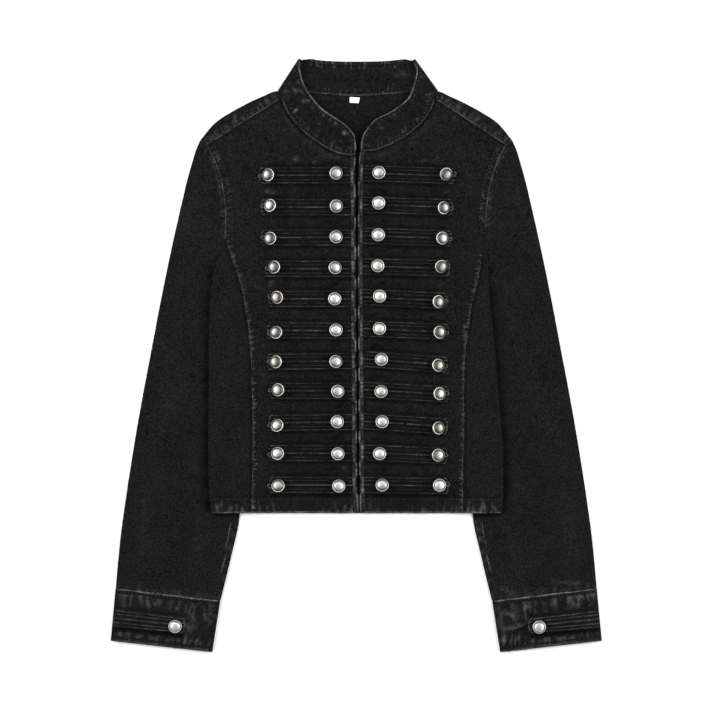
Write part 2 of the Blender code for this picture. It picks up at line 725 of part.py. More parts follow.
def make_collar(material):
    """One band: front ends on the top layer, a fold at each side, the back below."""
    layers = COLLAR_LAYERS
    columns = []

    def on_front(side):
        result = []
        sign = SIGN[side]
        for row in COLLAR_FRONT[side]:
            seam = Vector((sign * row.seam_out, row.seam_y))
            top = Vector((sign * row.top_out, row.top_y))
            height = under_front(seam.x, seam.y) + COLLAR_WALL / 2
            result.append([place_at(seam.lerp(top, k / (layers - 1)), height)
                           for k in range(layers)])
        return result

    def side_fold(side):
        sign = SIGN[side]
        row = COLLAR_FOLD[side]
        seam = Vector((sign * row.seam_out, row.seam_y))
        top = Vector((sign * row.top_out, row.top_y))
        corner = COLLAR_FRONT[side][-1]
        along_seam = (Vector((sign * corner.seam_out, corner.seam_y)) - seam).normalized()
        axis = (top - seam).normalized()
        square = Vector((axis.y, -axis.x)) * -sign
        high = under_front(seam.x, seam.y) + COLLAR_WALL / 2
        angles = tuple(reversed(HALF_TURN))
        lines = []
        for k in range(layers):
            share = k / (layers - 1)
            inward = along_seam.lerp(square, share).normalized()
            lines.append(fold_points(seam.lerp(top, share), inward, COLLAR_WALL / 2, high,
                                     COLLAR_WALL, angles))
        return [[line[i] for line in lines] for i in range(len(angles))]

    columns += on_front(LEFT) + side_fold(LEFT)
    for row in COLLAR_BACK:
        seam, top = Vector((row.seam_out, row.seam_y)), Vector((row.top_out, row.top_y))
        columns.append([place_at(seam.lerp(top, k / (layers - 1)), COLLAR_WALL / 2)
                        for k in range(layers)])
    columns += list(reversed(side_fold(RIGHT))) + list(reversed(on_front(RIGHT)))
    return cloth_wall("collar", columns, COLLAR_WALL, material)


def place_at(plan, height):
    return Vector((plan.x, plan.y, height))


# ---------------------------------------------------------------- sleeves and cuffs

def tube_ring(outer, inner, low_at, high_at, wall, columns, inner_turn=HALF_TURN[::-1]):
    """A flattened ring: from its outer fold over the top to its inner fold and back below.

    Without an inner turn the two layers end there, apart from each other.
    """
    run = (inner - outer).normalized()
    outside = fold_points(outer, run, low_at(outer), high_at(outer), wall, HALF_TURN)
    low, high = low_at(inner), high_at(inner)
    if inner_turn:
        inside = fold_points(inner, -run, low, high, wall, inner_turn)
    else:
        inside = [place_at(inner, high), place_at(inner, (low + high) / 2), place_at(inner, low)]

    def between(start, end, height_at):
        plans = [start.xy.lerp(end.xy, w) for w in spread(0.0, 1.0, columns + 2)[1:-1]]
        return [place_at(plan, height_at(plan)) for plan in plans]

    return (outside + between(outside[-1], inside[0], high_at)
            + inside + between(inside[-1], outside[0], low_at))


def sleeve_rows(side):
    """Both ends of each row across a sleeve and the station it is held by."""
    seam = armhole(side)
    edge = moved(seam, SLANT_SEAM, outside_of(side))
    rows = [(edge[0], edge[1], seam[1])]
    for outer_y, inner, sewn in list(zip(CAP_OUTER_Y, edge[1:], seam[1:]))[1:]:
        rows.append((at_height(SLEEVE_OUTER, side, outer_y), inner, sewn))
    pit = seam[-1]
    for row in [Row(r.outer_y, pit.y + r.inner_y) for r in UNDERARM_ROWS] + SLEEVE_ROWS:
        rows.append((at_height(SLEEVE_OUTER, side, row.outer_y),
                     at_height(SLEEVE_INNER, side, row.inner_y), pit))
    return rows


def make_sleeve(side, material):
    rows = sleeve_rows(side)
    underarm = len(CAP_OUTER_Y) - 1
    rings = []
    for k, (outer, inner, sewn) in enumerate(rows):
        fixed = rows[min(k, underarm)][1]
        reach = mix(SEAM_REACH, UNDERARM_REACH, ease(REACH_NARROWS, 1.0, k / underarm))

        def held(plan):
            return 1.0 - ease(0.0, reach, (plan - fixed).length)

        def low_at(plan):
            return DENIM / 2 + held(plan) * under_back(sewn.x, sewn.y)

        def high_at(plan):
            free = DENIM * 1.5 + inside_sleeve(plan.x, plan.y)
            return mix(free, under_front(sewn.x, sewn.y) + DENIM / 2, held(plan))

        turn = (90, 0, -90) if k >= underarm else None
        rings.append(tube_ring(outer, inner, low_at, high_at, DENIM, SLEEVE_COLUMNS, turn))
    fold_at = len(rings[0]) - SLEEVE_COLUMNS - 3

    def keep(r, c):
        return r >= underarm or c not in (fold_at, fold_at + 1)

    return cloth_wall("sleeve_" + side, rings, DENIM, material, closed=True, keep=keep)


def make_cuff(side, material):
    sign = SIGN[side]
    start = (Vector((sign * CUFF.seam_out, CUFF.seam_out_y)), Vector((sign * CUFF.seam_in, CUFF.seam_in_y)))
    end = (Vector((sign * CUFF.end_out, CUFF.end_out_y)), Vector((sign * CUFF.end_in, CUFF.end_in_y)))
    rings = []
    for share in spread(0.0, 1.0, CUFF_RINGS):
        outer, inner = start[0].lerp(end[0], share), start[1].lerp(end[1], share)
        rings.append(tube_ring(outer, inner, lambda plan: CUFF_WALL / 2,
                               lambda plan: CUFF_WALL * 1.5 + CUFF_INSIDE,
                               CUFF_WALL, SLEEVE_COLUMNS))
    return cloth_wall("cuff_" + side, rings, CUFF_WALL, material, closed=True)


# ---------------------------------------------------------------- ribbed bands and tabs

def rib_stations():
    """Places across a band as shares of its height, with the thickness at each."""
    half = RIBS // 2
    stations = [(-0.5, RIB_EDGE)]
    for rib in range(-half, half + 1):
        stations.append((rib * RIB_PITCH / BAND_HEIGHT, RIB_CREST))
        if rib < half:
            stations.append(((rib + 0.5) * RIB_PITCH / BAND_HEIGHT, RIB_GROOVE))
    return stations + [(0.5, RIB_EDGE)]


def rounded(across):
    """How much of the end rounding applies at a place across a band."""
    return (2.0 * abs(across)) ** 3


def make_bands(side, material):
    """Eleven bands that grow out of the folded strip along the front edge."""
    sign = SIGN[side]
    rows, walls, is_band = [], [], []

    def add_strip_row(y):
        front = table_at(FRONT_EDGE, side, y) - EDGE_WAVE
        rows.append([Vector((sign * (front + k * EDGE_STRIP), y)) for k in range(3)])
        walls.append(RIB_GROOVE)
        is_band.append(False)

    def add_band_row(band, tip, across, wall):
        start = getattr(band, side + "_front_y") + across * BAND_HEIGHT
        fall = getattr(band, side + "_end_y") - getattr(band, side + "_front_y")
        front = table_at(FRONT_EDGE, side, start) + EDGE_WAVE
        outs = [front, front + EDGE_STRIP, tip - TIP_CHAMFER * rounded(across)]
        rows.append([Vector((sign * out, start + fall * (out - front) / (tip - front)))
                     for out in outs])
        walls.append(wall)
        is_band.append(True)

    add_strip_row(HEM_Y + HEM_DEPTH + STRIP_END)
    for k in reversed(range(len(BANDS))):
        tip = getattr(BUTTONS[k], side + "_outer") + BAND_TIP
        for across, wall in rib_stations():
            add_band_row(BANDS[k], tip, across, wall)
        if k:
            between = getattr(BANDS[k], side + "_front_y") + getattr(BANDS[k - 1], side + "_front_y")
            add_strip_row(between / 2)
    add_strip_row(COLLAR_FRONT[side][0].seam_y - STRIP_TOP)

    def keep(r, c):
        return c == 0 or (is_band[r] and is_band[r + 1])

    under = [[place_at(p, under_front(p.x, p.y) + DENIM + SEAM) for p in row] for row in rows]
    over = [[p + Vector((0, 0, wall)) for p in row] for row, wall in zip(under, walls)]
    return wall_between("bands_" + side, under, over, material, keep=keep)


def cuff_top():
    return 2 * CUFF_WALL + CUFF_INSIDE


def make_cuff_tab(side, material):
    """The ribbed tab that runs from the cuff's edge to its button."""
    sign = SIGN[side]
    tab = CUFF_TAB[side]
    start, end = Vector((sign * tab.start_out, tab.start_y)), Vector((sign * tab.end_out, tab.end_y))
    run = (end - start).normalized()
    square = Vector((run.y, -run.x)) * sign
    under, over = [], []
    for across, wall in rib_stations():
        low = []
        for share in spread(0.0, 1.0, TAB_STATIONS):
            height = mix(tab.start_height, tab.end_height, share)
            pull = TIP_CHAMFER * rounded(across) if share == 1.0 else 0.0
            plan = start.lerp(end, share) + square * across * height - run * pull
            low.append(place_at(plan, cuff_top() + SEAM))
        under.append(low)
        over.append([point + Vector((0, 0, wall)) for point in low])
    return wall_between("cuff_tab_" + side, under, over, material)


# ---------------------------------------------------------------- buttons

def button_mesh(material):
    """A domed button turned about its shank, standing on the shank's end."""
    bm = bmesh.new()
    line = [bm.verts.new(Vector((turn.radius, 0, turn.height)) * MM) for turn in BUTTON_OUTLINE]
    edges = [bm.edges.new(pair) for pair in zip(line, line[1:])]
    bmesh.ops.spin(bm, geom=line + edges, cent=(0, 0, 0), axis=(0, 0, 1),
                   angle=math.tau, steps=BUTTON_SIDES, use_duplicate=False)
    bmesh.ops.remove_doubles(bm, verts=bm.verts, dist=0.00001)
    bmesh.ops.recalc_face_normals(bm, faces=bm.faces)
    mesh = bpy.data.meshes.new("button")
    bm.to_mesh(mesh)
    bm.free()
    mesh.shade_smooth()
    mesh.set_sharp_from_angle(angle=math.radians(35))
    mesh.materials.append(material)
    return mesh


def add_button(name, mesh, x, y, seat, lean=(0.0, 0.0)):
    """lean is the tilt in degrees towards +x and +y; the rim's middle is over the given
    place and the shank's lower edge keeps its seat."""
    obj = bpy.data.objects.new(name, mesh)
    bpy.context.scene.collection.objects.link(obj)
    upright = Vector((0.0, 0.0, 1.0))
    axis = Vector((math.tan(math.radians(lean[0])), math.tan(math.radians(lean[1])), 1.0)).normalized()
    lift = SHANK_RADIUS * math.sin(upright.angle(axis))
    foot = Vector((x, y, seat + lift)) - RIM_HEIGHT * Vector((axis.x, axis.y, 0.0))
    turn = upright.rotation_difference(axis).to_matrix().to_4x4()
    obj.matrix_world = Matrix.Translation(foot * MM) @ turn
    return obj


def make_buttons(material):
    mesh = button_mesh(material)
    columns = (("left_outer", -1), ("left_inner", 1), ("right_inner", -1), ("right_outer", 1))
    for row, (place, leans) in enumerate(zip(BUTTONS, LEANS), start=1):
        for column, towards in columns:
            x = getattr(place, column) * (-1 if column.startswith(LEFT) else 1)
            y = getattr(place, column + "_y")
            seat = under_front(x, y) + DENIM + SEAM + RIB_CREST + SEAM
            lean = (towards * getattr(leans, column), getattr(leans, column + "_up"))
            add_button(f"button_{column}_{row:02d}", mesh, x, y, seat, lean)
    for side, (out, y) in CUFF_BUTTON.items():
        seat = cuff_top() + SEAM + RIB_CREST + SEAM
        add_button("button_cuff_" + side, mesh, SIGN[side] * out, y, seat)


# ---------------------------------------------------------------- the jacket

def main():
    for obj in list(bpy.data.objects):
        bpy.data.objects.remove(obj, do_unlink=True)
    denim = finish("washed_black_denim", (0.013, 0.013, 0.013), 0.92)
    doubled = finish("doubled_denim", (0.016, 0.016, 0.016), 0.9)
    ribbed = finish("ribbed_denim", (0.011, 0.011, 0.011), 0.9)
    silver = finish("antique_silver", (0.62, 0.60, 0.57), 0.28, 1.0)
    make_back(denim)
    for side in (LEFT, RIGHT):
        make_front(side, denim)
        make_side_front(side, denim)
        make_sleeve(side, denim)
        make_cuff(side, doubled)
        make_bands(side, ribbed)
        make_cuff_tab(side, ribbed)
    make_collar(doubled)
    make_buttons(silver)


main()
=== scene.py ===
"""A cropped jacket in washed black denim with ribbed bands and silver buttons, lying flat.

Run as a script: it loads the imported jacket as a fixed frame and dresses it, panel by
panel, in finer cloth with its puckers, worn edges, stitching and buttons.

Lengths in the tables are millimetres. x runs across the jacket from its middle line, y
towards the collar and z up from the surface. "out" is measured from the middle line.
"""
import json
import math
import random
from collections import namedtuple

import bmesh
import bpy
import numpy as np
from mathutils import Matrix, Vector
from mathutils.bvhtree import BVHTree

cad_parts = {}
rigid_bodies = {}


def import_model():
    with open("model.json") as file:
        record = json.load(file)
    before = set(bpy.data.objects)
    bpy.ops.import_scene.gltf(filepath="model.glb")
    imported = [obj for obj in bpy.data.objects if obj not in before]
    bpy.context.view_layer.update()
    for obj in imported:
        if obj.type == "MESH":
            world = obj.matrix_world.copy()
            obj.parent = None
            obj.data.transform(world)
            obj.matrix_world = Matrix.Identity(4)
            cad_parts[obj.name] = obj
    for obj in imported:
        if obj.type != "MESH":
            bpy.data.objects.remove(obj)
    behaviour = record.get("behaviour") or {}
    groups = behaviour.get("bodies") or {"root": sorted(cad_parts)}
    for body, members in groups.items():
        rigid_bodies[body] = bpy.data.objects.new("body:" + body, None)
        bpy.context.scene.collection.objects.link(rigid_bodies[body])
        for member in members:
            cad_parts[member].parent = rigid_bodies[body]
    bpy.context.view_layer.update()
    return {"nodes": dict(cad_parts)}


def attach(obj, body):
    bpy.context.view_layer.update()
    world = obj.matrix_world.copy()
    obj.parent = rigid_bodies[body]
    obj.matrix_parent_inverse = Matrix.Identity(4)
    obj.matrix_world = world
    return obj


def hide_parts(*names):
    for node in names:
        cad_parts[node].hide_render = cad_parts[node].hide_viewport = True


bl_info = {
    "name": "Banded Denim Jacket",
    "version": (1, 0, 0),
    "blender": (4, 5, 0),
    "location": "View3D > Sidebar > Jacket",
    "description": "Dresses the packed jacket in washed denim, ribbed bands, stitching and buttons",
    "category": "Object",
}

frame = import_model()

MM = 0.001
BODY = "root"
LEFT, RIGHT = "left", "right"
SIGN = {LEFT: -1, RIGHT: 1}

# -------------------- sizes

# Cloth
DENIM = 1.2            # one layer
COLLAR_WALL = 2.4
CUFF_WALL = 2.0
SEAM = 0.3             # clearance where two pieces meet
WIDE_SEAM = 1.4 * SEAM  # clearance round the neck and the armholes
HEM_Y = -183.5
HEM_DEPTH = 18.5
HEM_EXTRA = 0.8        # what the turned hem adds to the wall
PANEL_ROWS = 12
STEP = 1.5             # width of a stitched step in a wall
NECK_STEP = 1.1
LEAST_FOLD = 1.9
HALF_TURN = (-90, -45, 0, 45, 90)
COLLAR_LAYERS = 4

# How the layers lie on each other
PRESSED_SLEEVE = 0.5
SLEEVE_CLEAR = 0.4
OPEN_SLEEVE = 2.3
UNDERARM_EASE = 0.9
BODY_OVER_SLEEVE = 2 * DENIM + PRESSED_SLEEVE + SLEEVE_CLEAR
SLEEVE_MARGIN = 5.0
UNDERARM_MARGIN = 8.0
RAMP = 20.0
RAMP_FOOT = 108.5
FRONT_REST = 0.4
FRONT_EASE = 0.7
EASE_WIDTH = 38.0
CHEST_EASE = 2.2
RAMP_EASE = 2.2
CLIMB_END = 40.0
SLOPE_PAST_ARMPIT = 0.8
OPEN_PAST_ARMPIT = 2.0

# Bands and buttons
BAND_HEIGHT = 20.8
TIP_CHAMFER = 4.5
RIB_GROOVE = 1.3
EDGE_STRIP = 5.5
SEWN_ON = 0.15         # how far a band or tab lies above the cloth under it
BANDS_OUT = 58.0       # the middle of the darker cloth under the bands
ABOVE_BANDS = 14.0     # how far it goes on above the uppermost band

# How fine the cloth of each piece is
BACK_STEP, WRAP_STEP = 4.0, 1.1  # the back, and its strips on the front
FRONT_STEP, SIDE_FRONT_STEP = 1.7, 1.6
COLLAR_STEP, CUFF_STEP, SLEEVE_STEP = 1.3, 1.3, 2.8


def table(kind, rows):
    """A table whose rows are of one kind, with its named columns."""
    return [kind(*row) for row in rows]


Width = namedtuple("Width", "y left right")
SIDE_EDGE = table(Width, [
    (-183.5, 167.5, 168.5), (-166.0, 170.0, 170.2), (-123.0, 171.5, 170.8), (-90.0, 171.5, 169.0),
    (-38.0, 171.3, 164.5), (20.0, 171.0, 159.6), (59.0, 169.8, 155.5), (85.0, 168.0, 153.6),
    (106.0, 164.0, 152.6), (112.0, 162.0, 152.5),
])
PRINCESS = table(Width, [
    (-183.5, 122.0, 124.5), (-140.0, 121.0, 124.5), (-90.0, 120.5, 125.5), (-38.0, 121.5, 125.5),
    (4.0, 123.0, 127.5), (38.0, 126.5, 131.5), (62.0, 130.5, 135.5), (82.0, 134.5, 140.0),
    (100.0, 140.5, 144.0), (118.0, 146.8, 147.2), (136.0, 153.2, 149.9),
])
SLEEVE_OUTER = [Width(y, out, out) for y, out in (
    (-270.4, 279.5), (-226.0, 275.5), (-168.0, 268.0), (-110.0, 259.0), (-52.0, 249.0), (6.0, 238.0),
    (64.0, 227.0), (122.0, 215.0), (180.0, 202.0), (203.0, 196.5), (226.0, 190.0), (240.0, 185.6),
    (250.4, 180.6),
)]
SLEEVE_INNER = table(Width, [
    (-284.9, 157.6, 157.6), (-243.0, 147.6, 147.6), (-215.0, 140.6, 140.6), (-187.0, 135.5, 135.5),
    (-130.0, 133.0, 133.0), (-80.0, 133.0, 133.0), (-30.0, 133.5, 133.5), (20.0, 137.0, 134.5),
    (50.0, 145.0, 138.0), (68.0, 154.0, 144.0), (80.0, 163.0, 149.5), (90.0, 166.6, 153.6),
    (98.0, 165.4, 152.9), (106.0, 163.4, 152.5), (112.0, 162.0, 152.3),
])
FRONT_EDGE = table(Width, [
    (-183.5, -2.6, 4.9), (-157.0, -1.0, 4.5), (-110.0, -0.3, 3.8), (-52.0, -0.1, 3.4), (29.0, 0.7, 2.8),
    (110.0, 0.9, 2.4), (180.0, 1.3, 2.6), (214.0, 1.9, 3.1), (231.8, 1.1, 4.4), (236.8, 1.1, 5.0),
])

Seam = namedtuple("Seam", "left_out left_y right_out right_y")
ARMHOLE = table(Seam, [
    (180.6, 250.4, 180.6, 250.4), (174.3, 243.0, 174.3, 243.0), (166.2, 227.5, 166.2, 227.5),
    (159.0, 208.0, 159.0, 208.0), (154.4, 184.0, 154.0, 184.0), (152.5, 160.0, 151.6, 160.0),
    (153.2, 136.0, 149.9, 136.0), (157.3, 120.0, 150.5, 123.0), (164.0, 106.0, 152.5, 112.0),
])
PRINCESS_STATION = 6

Station = namedtuple("Station", "seam_out seam_y top_out top_y")
COLLAR_FRONT = {
    LEFT: table(Station, [
        (1.1, 231.8, 0.1, 241.0), (6.6, 231.8, 1.0, 252.1), (14.7, 232.9, 6.0, 261.6),
        (26.3, 236.4, 14.7, 269.5), (41.4, 244.5, 27.4, 278.2), (56.4, 255.0, 40.2, 287.1),
        (69.2, 267.7, 51.8, 300.2), (79.6, 281.6, 59.9, 314.1), (87.2, 297.6, 64.9, 330.0),
    ]),
    RIGHT: table(Station, [
        (5.0, 236.8, 5.5, 245.7), (10.8, 236.8, 7.1, 254.4), (18.5, 237.2, 11.4, 261.6),
        (31.7, 241.0, 22.5, 274.2), (46.8, 248.0, 36.5, 281.0), (61.5, 256.8, 50.5, 290.0),
        (75.0, 268.8, 60.5, 299.5), (86.0, 283.0, 66.8, 314.5), (91.8, 297.0, 69.8, 329.0),
    ]),
}
COLLAR_FOLD = {
    LEFT: Station(90.1, 308.3, 66.9, 344.9),
    RIGHT: Station(94.4, 307.6, 68.5, 344.3),
}
COLLAR_BACK = table(Station, [
    (-70.0, 304.9, -54.0, 344.2), (-48.0, 304.2, -38.5, 342.4), (-24.0, 302.2, -19.5, 341.4),
    (0.0, 301.3, 1.0, 341.2), (24.0, 302.2, 21.5, 341.4), (48.0, 304.2, 40.5, 342.4),
    (70.0, 304.9, 56.0, 344.0),
])
SHOULDER_FOLD = [(180.6, 250.4), (164.0, 269.8), (146.0, 281.9), (128.0, 291.8), (109.0, 300.6)]
BACK_SIDE_Y = [HEM_Y, -165.0, -118.0, -70.0, -25.0, 15.0, 48.0, 78.0]
BACK_HEM_COLUMNS = [151.0, 136.0, 126.0, 118.5, 111.0, 103.5, 70.0, 35.0]

CAP_OUTER_Y = [250.4, 239.5, 222.0, 200.0, 178.0, 156.0, 138.0, 122.0]
Row = namedtuple("Row", "outer_y inner_y")
UNDERARM_ROWS = [Row(111.0, -8.0), Row(100.0, -16.0), Row(87.0, -27.0), Row(70.0, -42.0)]
SLEEVE_ROWS = table(Row, [
    (48.0, 32.0), (4.0, -14.0), (-40.0, -62.0), (-84.0, -108.0), (-126.0, -150.0), (-164.0, -187.0),
    (-216.0, -234.0), (-270.4, -284.9),
])
SLEEVE_COLUMNS = 6
SEAM_REACH = 42.0
UNDERARM_REACH = 17.0
Fold = namedtuple("Fold", "from_out from_y to_out to_y width height")
SLEEVE_FOLDS = table(Fold, [
    (168.0, 214.0, 204.0, 96.0, 13.0, 1.1), (205.0, 66.0, 236.0, -120.0, 14.0, 1.0),
    (184.0, -30.0, 206.0, -228.0, 13.0, 0.9),
])

Edge = namedtuple("Edge", "outer_out outer_y inner_out inner_y")
CUFF_SEAM, CUFF_END = Edge(279.6, -270.8, 157.9, -285.3), Edge(285.4, -331.7, 167.2, -344.9)
CUFF_INSIDE = 1.2
CUFF_RINGS = 4
Tab = namedtuple("Tab", "start_out start_y end_out end_y start_height end_height")
CUFF_TAB = {
    LEFT: Tab(281.6, -305.0, 197.8, -314.2, 21.5, 18.5),
    RIGHT: Tab(281.8, -306.0, 199.6, -314.6, 21.5, 18.5),
}

Band = namedtuple("Band", "left_front_y left_end_y left_tip right_front_y right_end_y right_tip")
BANDS = table(Band, [
    (208.8, 208.6, 113.3, 211.4, 207.7, 115.2), (171.5, 172.0, 110.8, 174.6, 171.8, 112.3),
    (136.6, 136.6, 110.9, 138.8, 135.4, 110.9), (100.2, 100.4, 105.9, 103.2, 100.8, 109.2),
    (65.3, 65.5, 102.4, 67.6, 63.0, 106.1), (28.4, 29.0, 103.6, 31.0, 26.8, 107.9),
    (-6.8, -7.6, 104.1, -4.2, -11.3, 106.0), (-41.8, -41.2, 101.5, -40.0, -45.6, 107.8),
    (-77.6, -78.6, 102.3, -76.6, -83.0, 106.7), (-114.0, -113.6, 102.0, -113.0, -117.0, 106.4),
    (-151.0, -150.4, 101.3, -150.6, -152.0, 107.9),
])


# -------------------- small helpers

def ease(low, high, value):
    """0 below low, 1 above high, and smooth between; value may be an array."""
    share = np.clip((value - low) / (high - low), 0.0, 1.0)
    return share * share * (3.0 - 2.0 * share)


def mix(a, b, share):
    return a + (b - a) * share


def spread(start, end, count):
    return [mix(start, end, k / (count - 1)) for k in range(count)]


def smooth_slopes(values, knots):
    """Slopes at the knots of a curve that never swings past its own points."""
    gap = np.diff(knots).reshape((-1,) + (1,) * (values.ndim - 1))
    rise = np.diff(values, axis=0) / gap
    slopes = np.zeros_like(values)
    slopes[0], slopes[-1] = rise[0], rise[-1]
    before, after = 2 * gap[1:] + gap[:-1], gap[1:] + 2 * gap[:-1]
    low, high = rise[:-1], rise[1:]
    agree = low * high > 1e-12
    safe_low, safe_high = np.where(agree, low, 1.0), np.where(agree, high, 1.0)
    slopes[1:-1] = np.where(agree, (before + after) / (before / safe_low + after / safe_high), 0.0)
    return slopes


def on_curve(values, knots, places):
    """A smooth curve through values at knots, read at places."""
    slopes = smooth_slopes(values, knots)
    i = np.clip(np.searchsorted(knots, places, side="right") - 1, 0, len(knots) - 2)
    shape = (-1,) + (1,) * (values.ndim - 1)
    span = (knots[i + 1] - knots[i]).reshape(shape)
    t = ((places - knots[i]).reshape(shape)) / span
    return (values[i] * (1 + 2 * t) * (1 - t) ** 2 + slopes[i] * span * t * (1 - t) ** 2
            + values[i + 1] * t * t * (3 - 2 * t) + slopes[i + 1] * span * t * t * (t - 1))


def table_at(rows, column, y):
    """A column of a table read at a height, on a smooth curve through its rows."""
    heights = np.array([row.y for row in rows])
    values = np.array([getattr(row, column) for row in rows])
    place = np.atleast_1d(np.clip(y, heights[0], heights[-1])).astype(float)
    found = on_curve(values, heights, place)
    return found if np.ndim(y) else float(found[0])


def split(points, parts):
    fine = [points[0]]
    for a, b in zip(points, points[1:]):
        fine += [a.lerp(b, k / parts) for k in range(1, parts + 1)]
    return fine


def on(side, out, y):
    """A place in plan on one side of the middle line."""
    return Vector((SIGN[side] * out, y))


def armhole(side):
    return [on(side, getattr(row, side + "_out"), getattr(row, side + "_y")) for row in ARMHOLE]


def moved(line, distance, towards):
    """A line of points in plan, moved square to itself towards a place."""
    result = []
    for k, point in enumerate(line):
        before, after = line[max(k - 1, 0)], line[min(k + 1, len(line) - 1)]
        run = (after - before).normalized()
        square = Vector((run.y, -run.x))
        if square.dot(towards - point) < 0:
            square.negate()
        result.append(point + square * distance)
    return result


def at_height(rows, side, y):
    return on(side, table_at(rows, side, y), y)


def outside_of(side):
    return on(side, 1000.0, 300.0)


def place_at(plan, height, raised=0.0, upper=1.0):
    """One point of a grid: its place, what its outer face is raised by and whether
    it belongs to the layer that shows."""
    return (plan.x, plan.y, height, raised, upper)


# -------------------- how high cloth lies

def side_of(x):
    return LEFT if x < 0 else RIGHT


def armpit(side):
    return armhole(side)[-1]


def climb(x, y):
    """0 where the body lies on the surface, 1 where it lies on a sleeve."""
    side = side_of(x)
    pit = armpit(side).y
    reach = table_at(SLEEVE_INNER, side, min(y, pit)) - SLEEVE_MARGIN
    reach -= UNDERARM_MARGIN * ease(50.0, 75.0, y)
    return ease(reach - RAMP, reach, abs(x)) * (1.0 - ease(pit, pit + CLIMB_END, y))


def under_back(x, y):
    return BODY_OVER_SLEEVE * climb(x, y)


def under_front(x, y):
    side = side_of(x)
    pit = armpit(side).y
    edge = table_at(SIDE_EDGE, side, min(y, pit)) + SLOPE_PAST_ARMPIT * max(y - pit, 0.0)
    inside = ease(0.0, EASE_WIDTH, edge - abs(x))
    fullness = FRONT_REST + inside * (FRONT_EASE + CHEST_EASE * ease(0.0, 240.0, y))
    ramp = climb(x, y)
    return under_back(x, y) + DENIM + fullness + RAMP_EASE * ramp * (1.0 - ramp)


def sleeve_fold_height(x, y):
    height = 0.0
    for fold in SLEEVE_FOLDS:
        start = Vector((fold.from_out, fold.from_y))
        run = Vector((fold.to_out, fold.to_y)) - start
        place = Vector((abs(x), y)) - start
        along = place.dot(run) / run.length_squared
        ends = ease(-0.05, 0.2, along) * (1.0 - ease(0.8, 1.05, along))
        away = abs(place.cross(run)) / run.length
        height += fold.height * ends * math.exp(-(away / fold.width) ** 2)
    return height


def free_of_body(x, y):
    """1 where a sleeve lies beside the body or below its hem, 0 where it is pressed under it."""
    side = side_of(x)
    pit = armpit(side).y
    cover = table_at(SIDE_EDGE, side, min(y, pit)) - OPEN_PAST_ARMPIT * max(y - pit, 0.0)
    return max(ease(9.0, 32.0, abs(x) - cover), ease(0.0, 26.0, HEM_Y - 1.0 - y))


def inside_sleeve(x, y):
    away = (Vector((x, y)) - armpit(side_of(x))).length
    puff = UNDERARM_EASE * (1.0 - ease(0.0, 30.0, away))
    return puff + mix(PRESSED_SLEEVE, OPEN_SLEEVE + sleeve_fold_height(x, y), free_of_body(x, y))


# -------------------- fine cloth from a coarse grid

def knots_along(grid, axis):
    """Average distance from row to row of a grid, added up."""
    steps = np.linalg.norm(np.diff(grid[..., :3], axis=axis), axis=-1)
    average = steps.mean(axis=1 - axis)
    return np.concatenate([[0.0], np.cumsum(np.maximum(average, 0.05))])


def places_between(knots, step):
    """Finer places that keep every knot, and the stretch each of them belongs to. step is
    one distance, or gives one for each stretch."""
    places, stretch = [], []
    for k, (a, b) in enumerate(zip(knots, knots[1:])):
        parts = max(1, int(round((b - a) / (step(k) if callable(step) else step))))
        places += [mix(a, b, i / parts) for i in range(parts)]
        stretch += [k] * parts
    return np.array(places + [knots[-1]]), stretch


def refined(rows, steps, closed=False):
    """A grid of points made finer on smooth curves, and the old row and column of each
    cell. steps are the distances from row to row and from column to column."""
    grid = np.array(rows, dtype=float)
    if closed:
        grid = np.concatenate([grid[:, -2:], grid, grid[:, :3]], axis=1)
    knots = knots_along(grid, 1)
    if closed:
        places, column_of = places_between(knots[2:-2], steps[1])
        places = places[:-1]
    else:
        places, column_of = places_between(knots, steps[1])
    grid = np.swapaxes(on_curve(np.swapaxes(grid, 0, 1), knots, places), 0, 1)
    knots = knots_along(grid, 0)
    places, row_of = places_between(knots, steps[0])
    return on_curve(grid, knots, places), row_of, column_of


def grid_normals(points, closed):
    """Unit normals of a grid, as the cross product of its two runs."""
    if closed:
        wide = np.concatenate([points[:, -1:], points, points[:, :1]], axis=1)
        across = (wide[:, 2:] - wide[:, :-2]) / 2
    else:
        across = np.gradient(points, axis=1)
    down = np.gradient(points, axis=0)
    normals = np.cross(across, down)
    return normals / np.maximum(np.linalg.norm(normals, axis=-1, keepdims=True), 1e-9)


def shell_faces(kept, closed):
    """Faces of both sides and the rims of a wall, as (upper, corner) index pairs."""
    rows, columns = kept.shape
    faces = []
    for r in range(rows):
        for c in range(columns):
            if not kept[r, c]:
                continue
            d = (c + 1) % columns if closed else c + 1
            a, b, e, f = (r, c), (r, d), (r + 1, d), (r + 1, c)
            faces.append(((1, a), (1, b), (1, e), (1, f)))
            faces.append(((0, a), (0, f), (0, e), (0, b)))
            left = (r, (c - 1) % columns) if closed else (r, c - 1)
            right = (r, (c + 1) % columns) if closed else (r, c + 1)
            for near, p, q in (((r - 1, c), a, b), ((r + 1, c), e, f), (left, f, a), (right, b, e)):
                inside = 0 <= near[0] < rows and 0 <= near[1] < columns and kept[near]
                if not inside:
                    faces.append(((1, p), (0, p), (0, q), (1, q)))
    return faces


def new_object(name, points, faces, material, wear):
    """A mesh object from points in millimetres, and how worn it is at each of them, or how dark with
    painted shade where that is negative.
    """
    mesh = bpy.data.meshes.new(name)
    mesh.from_pydata([tuple(p) for p in np.asarray(points) * MM], [], faces)
    layer = mesh.attributes.new(name="wear", type="FLOAT", domain="POINT")
    layer.data.foreach_set("value", np.asarray(wear, dtype=np.float32))
    mesh.shade_smooth()
    mesh.set_sharp_from_angle(angle=math.radians(50))
    mesh.materials.append(material)
    obj = bpy.data.objects.new(name, mesh)
    bpy.context.scene.collection.objects.link(obj)
    return obj


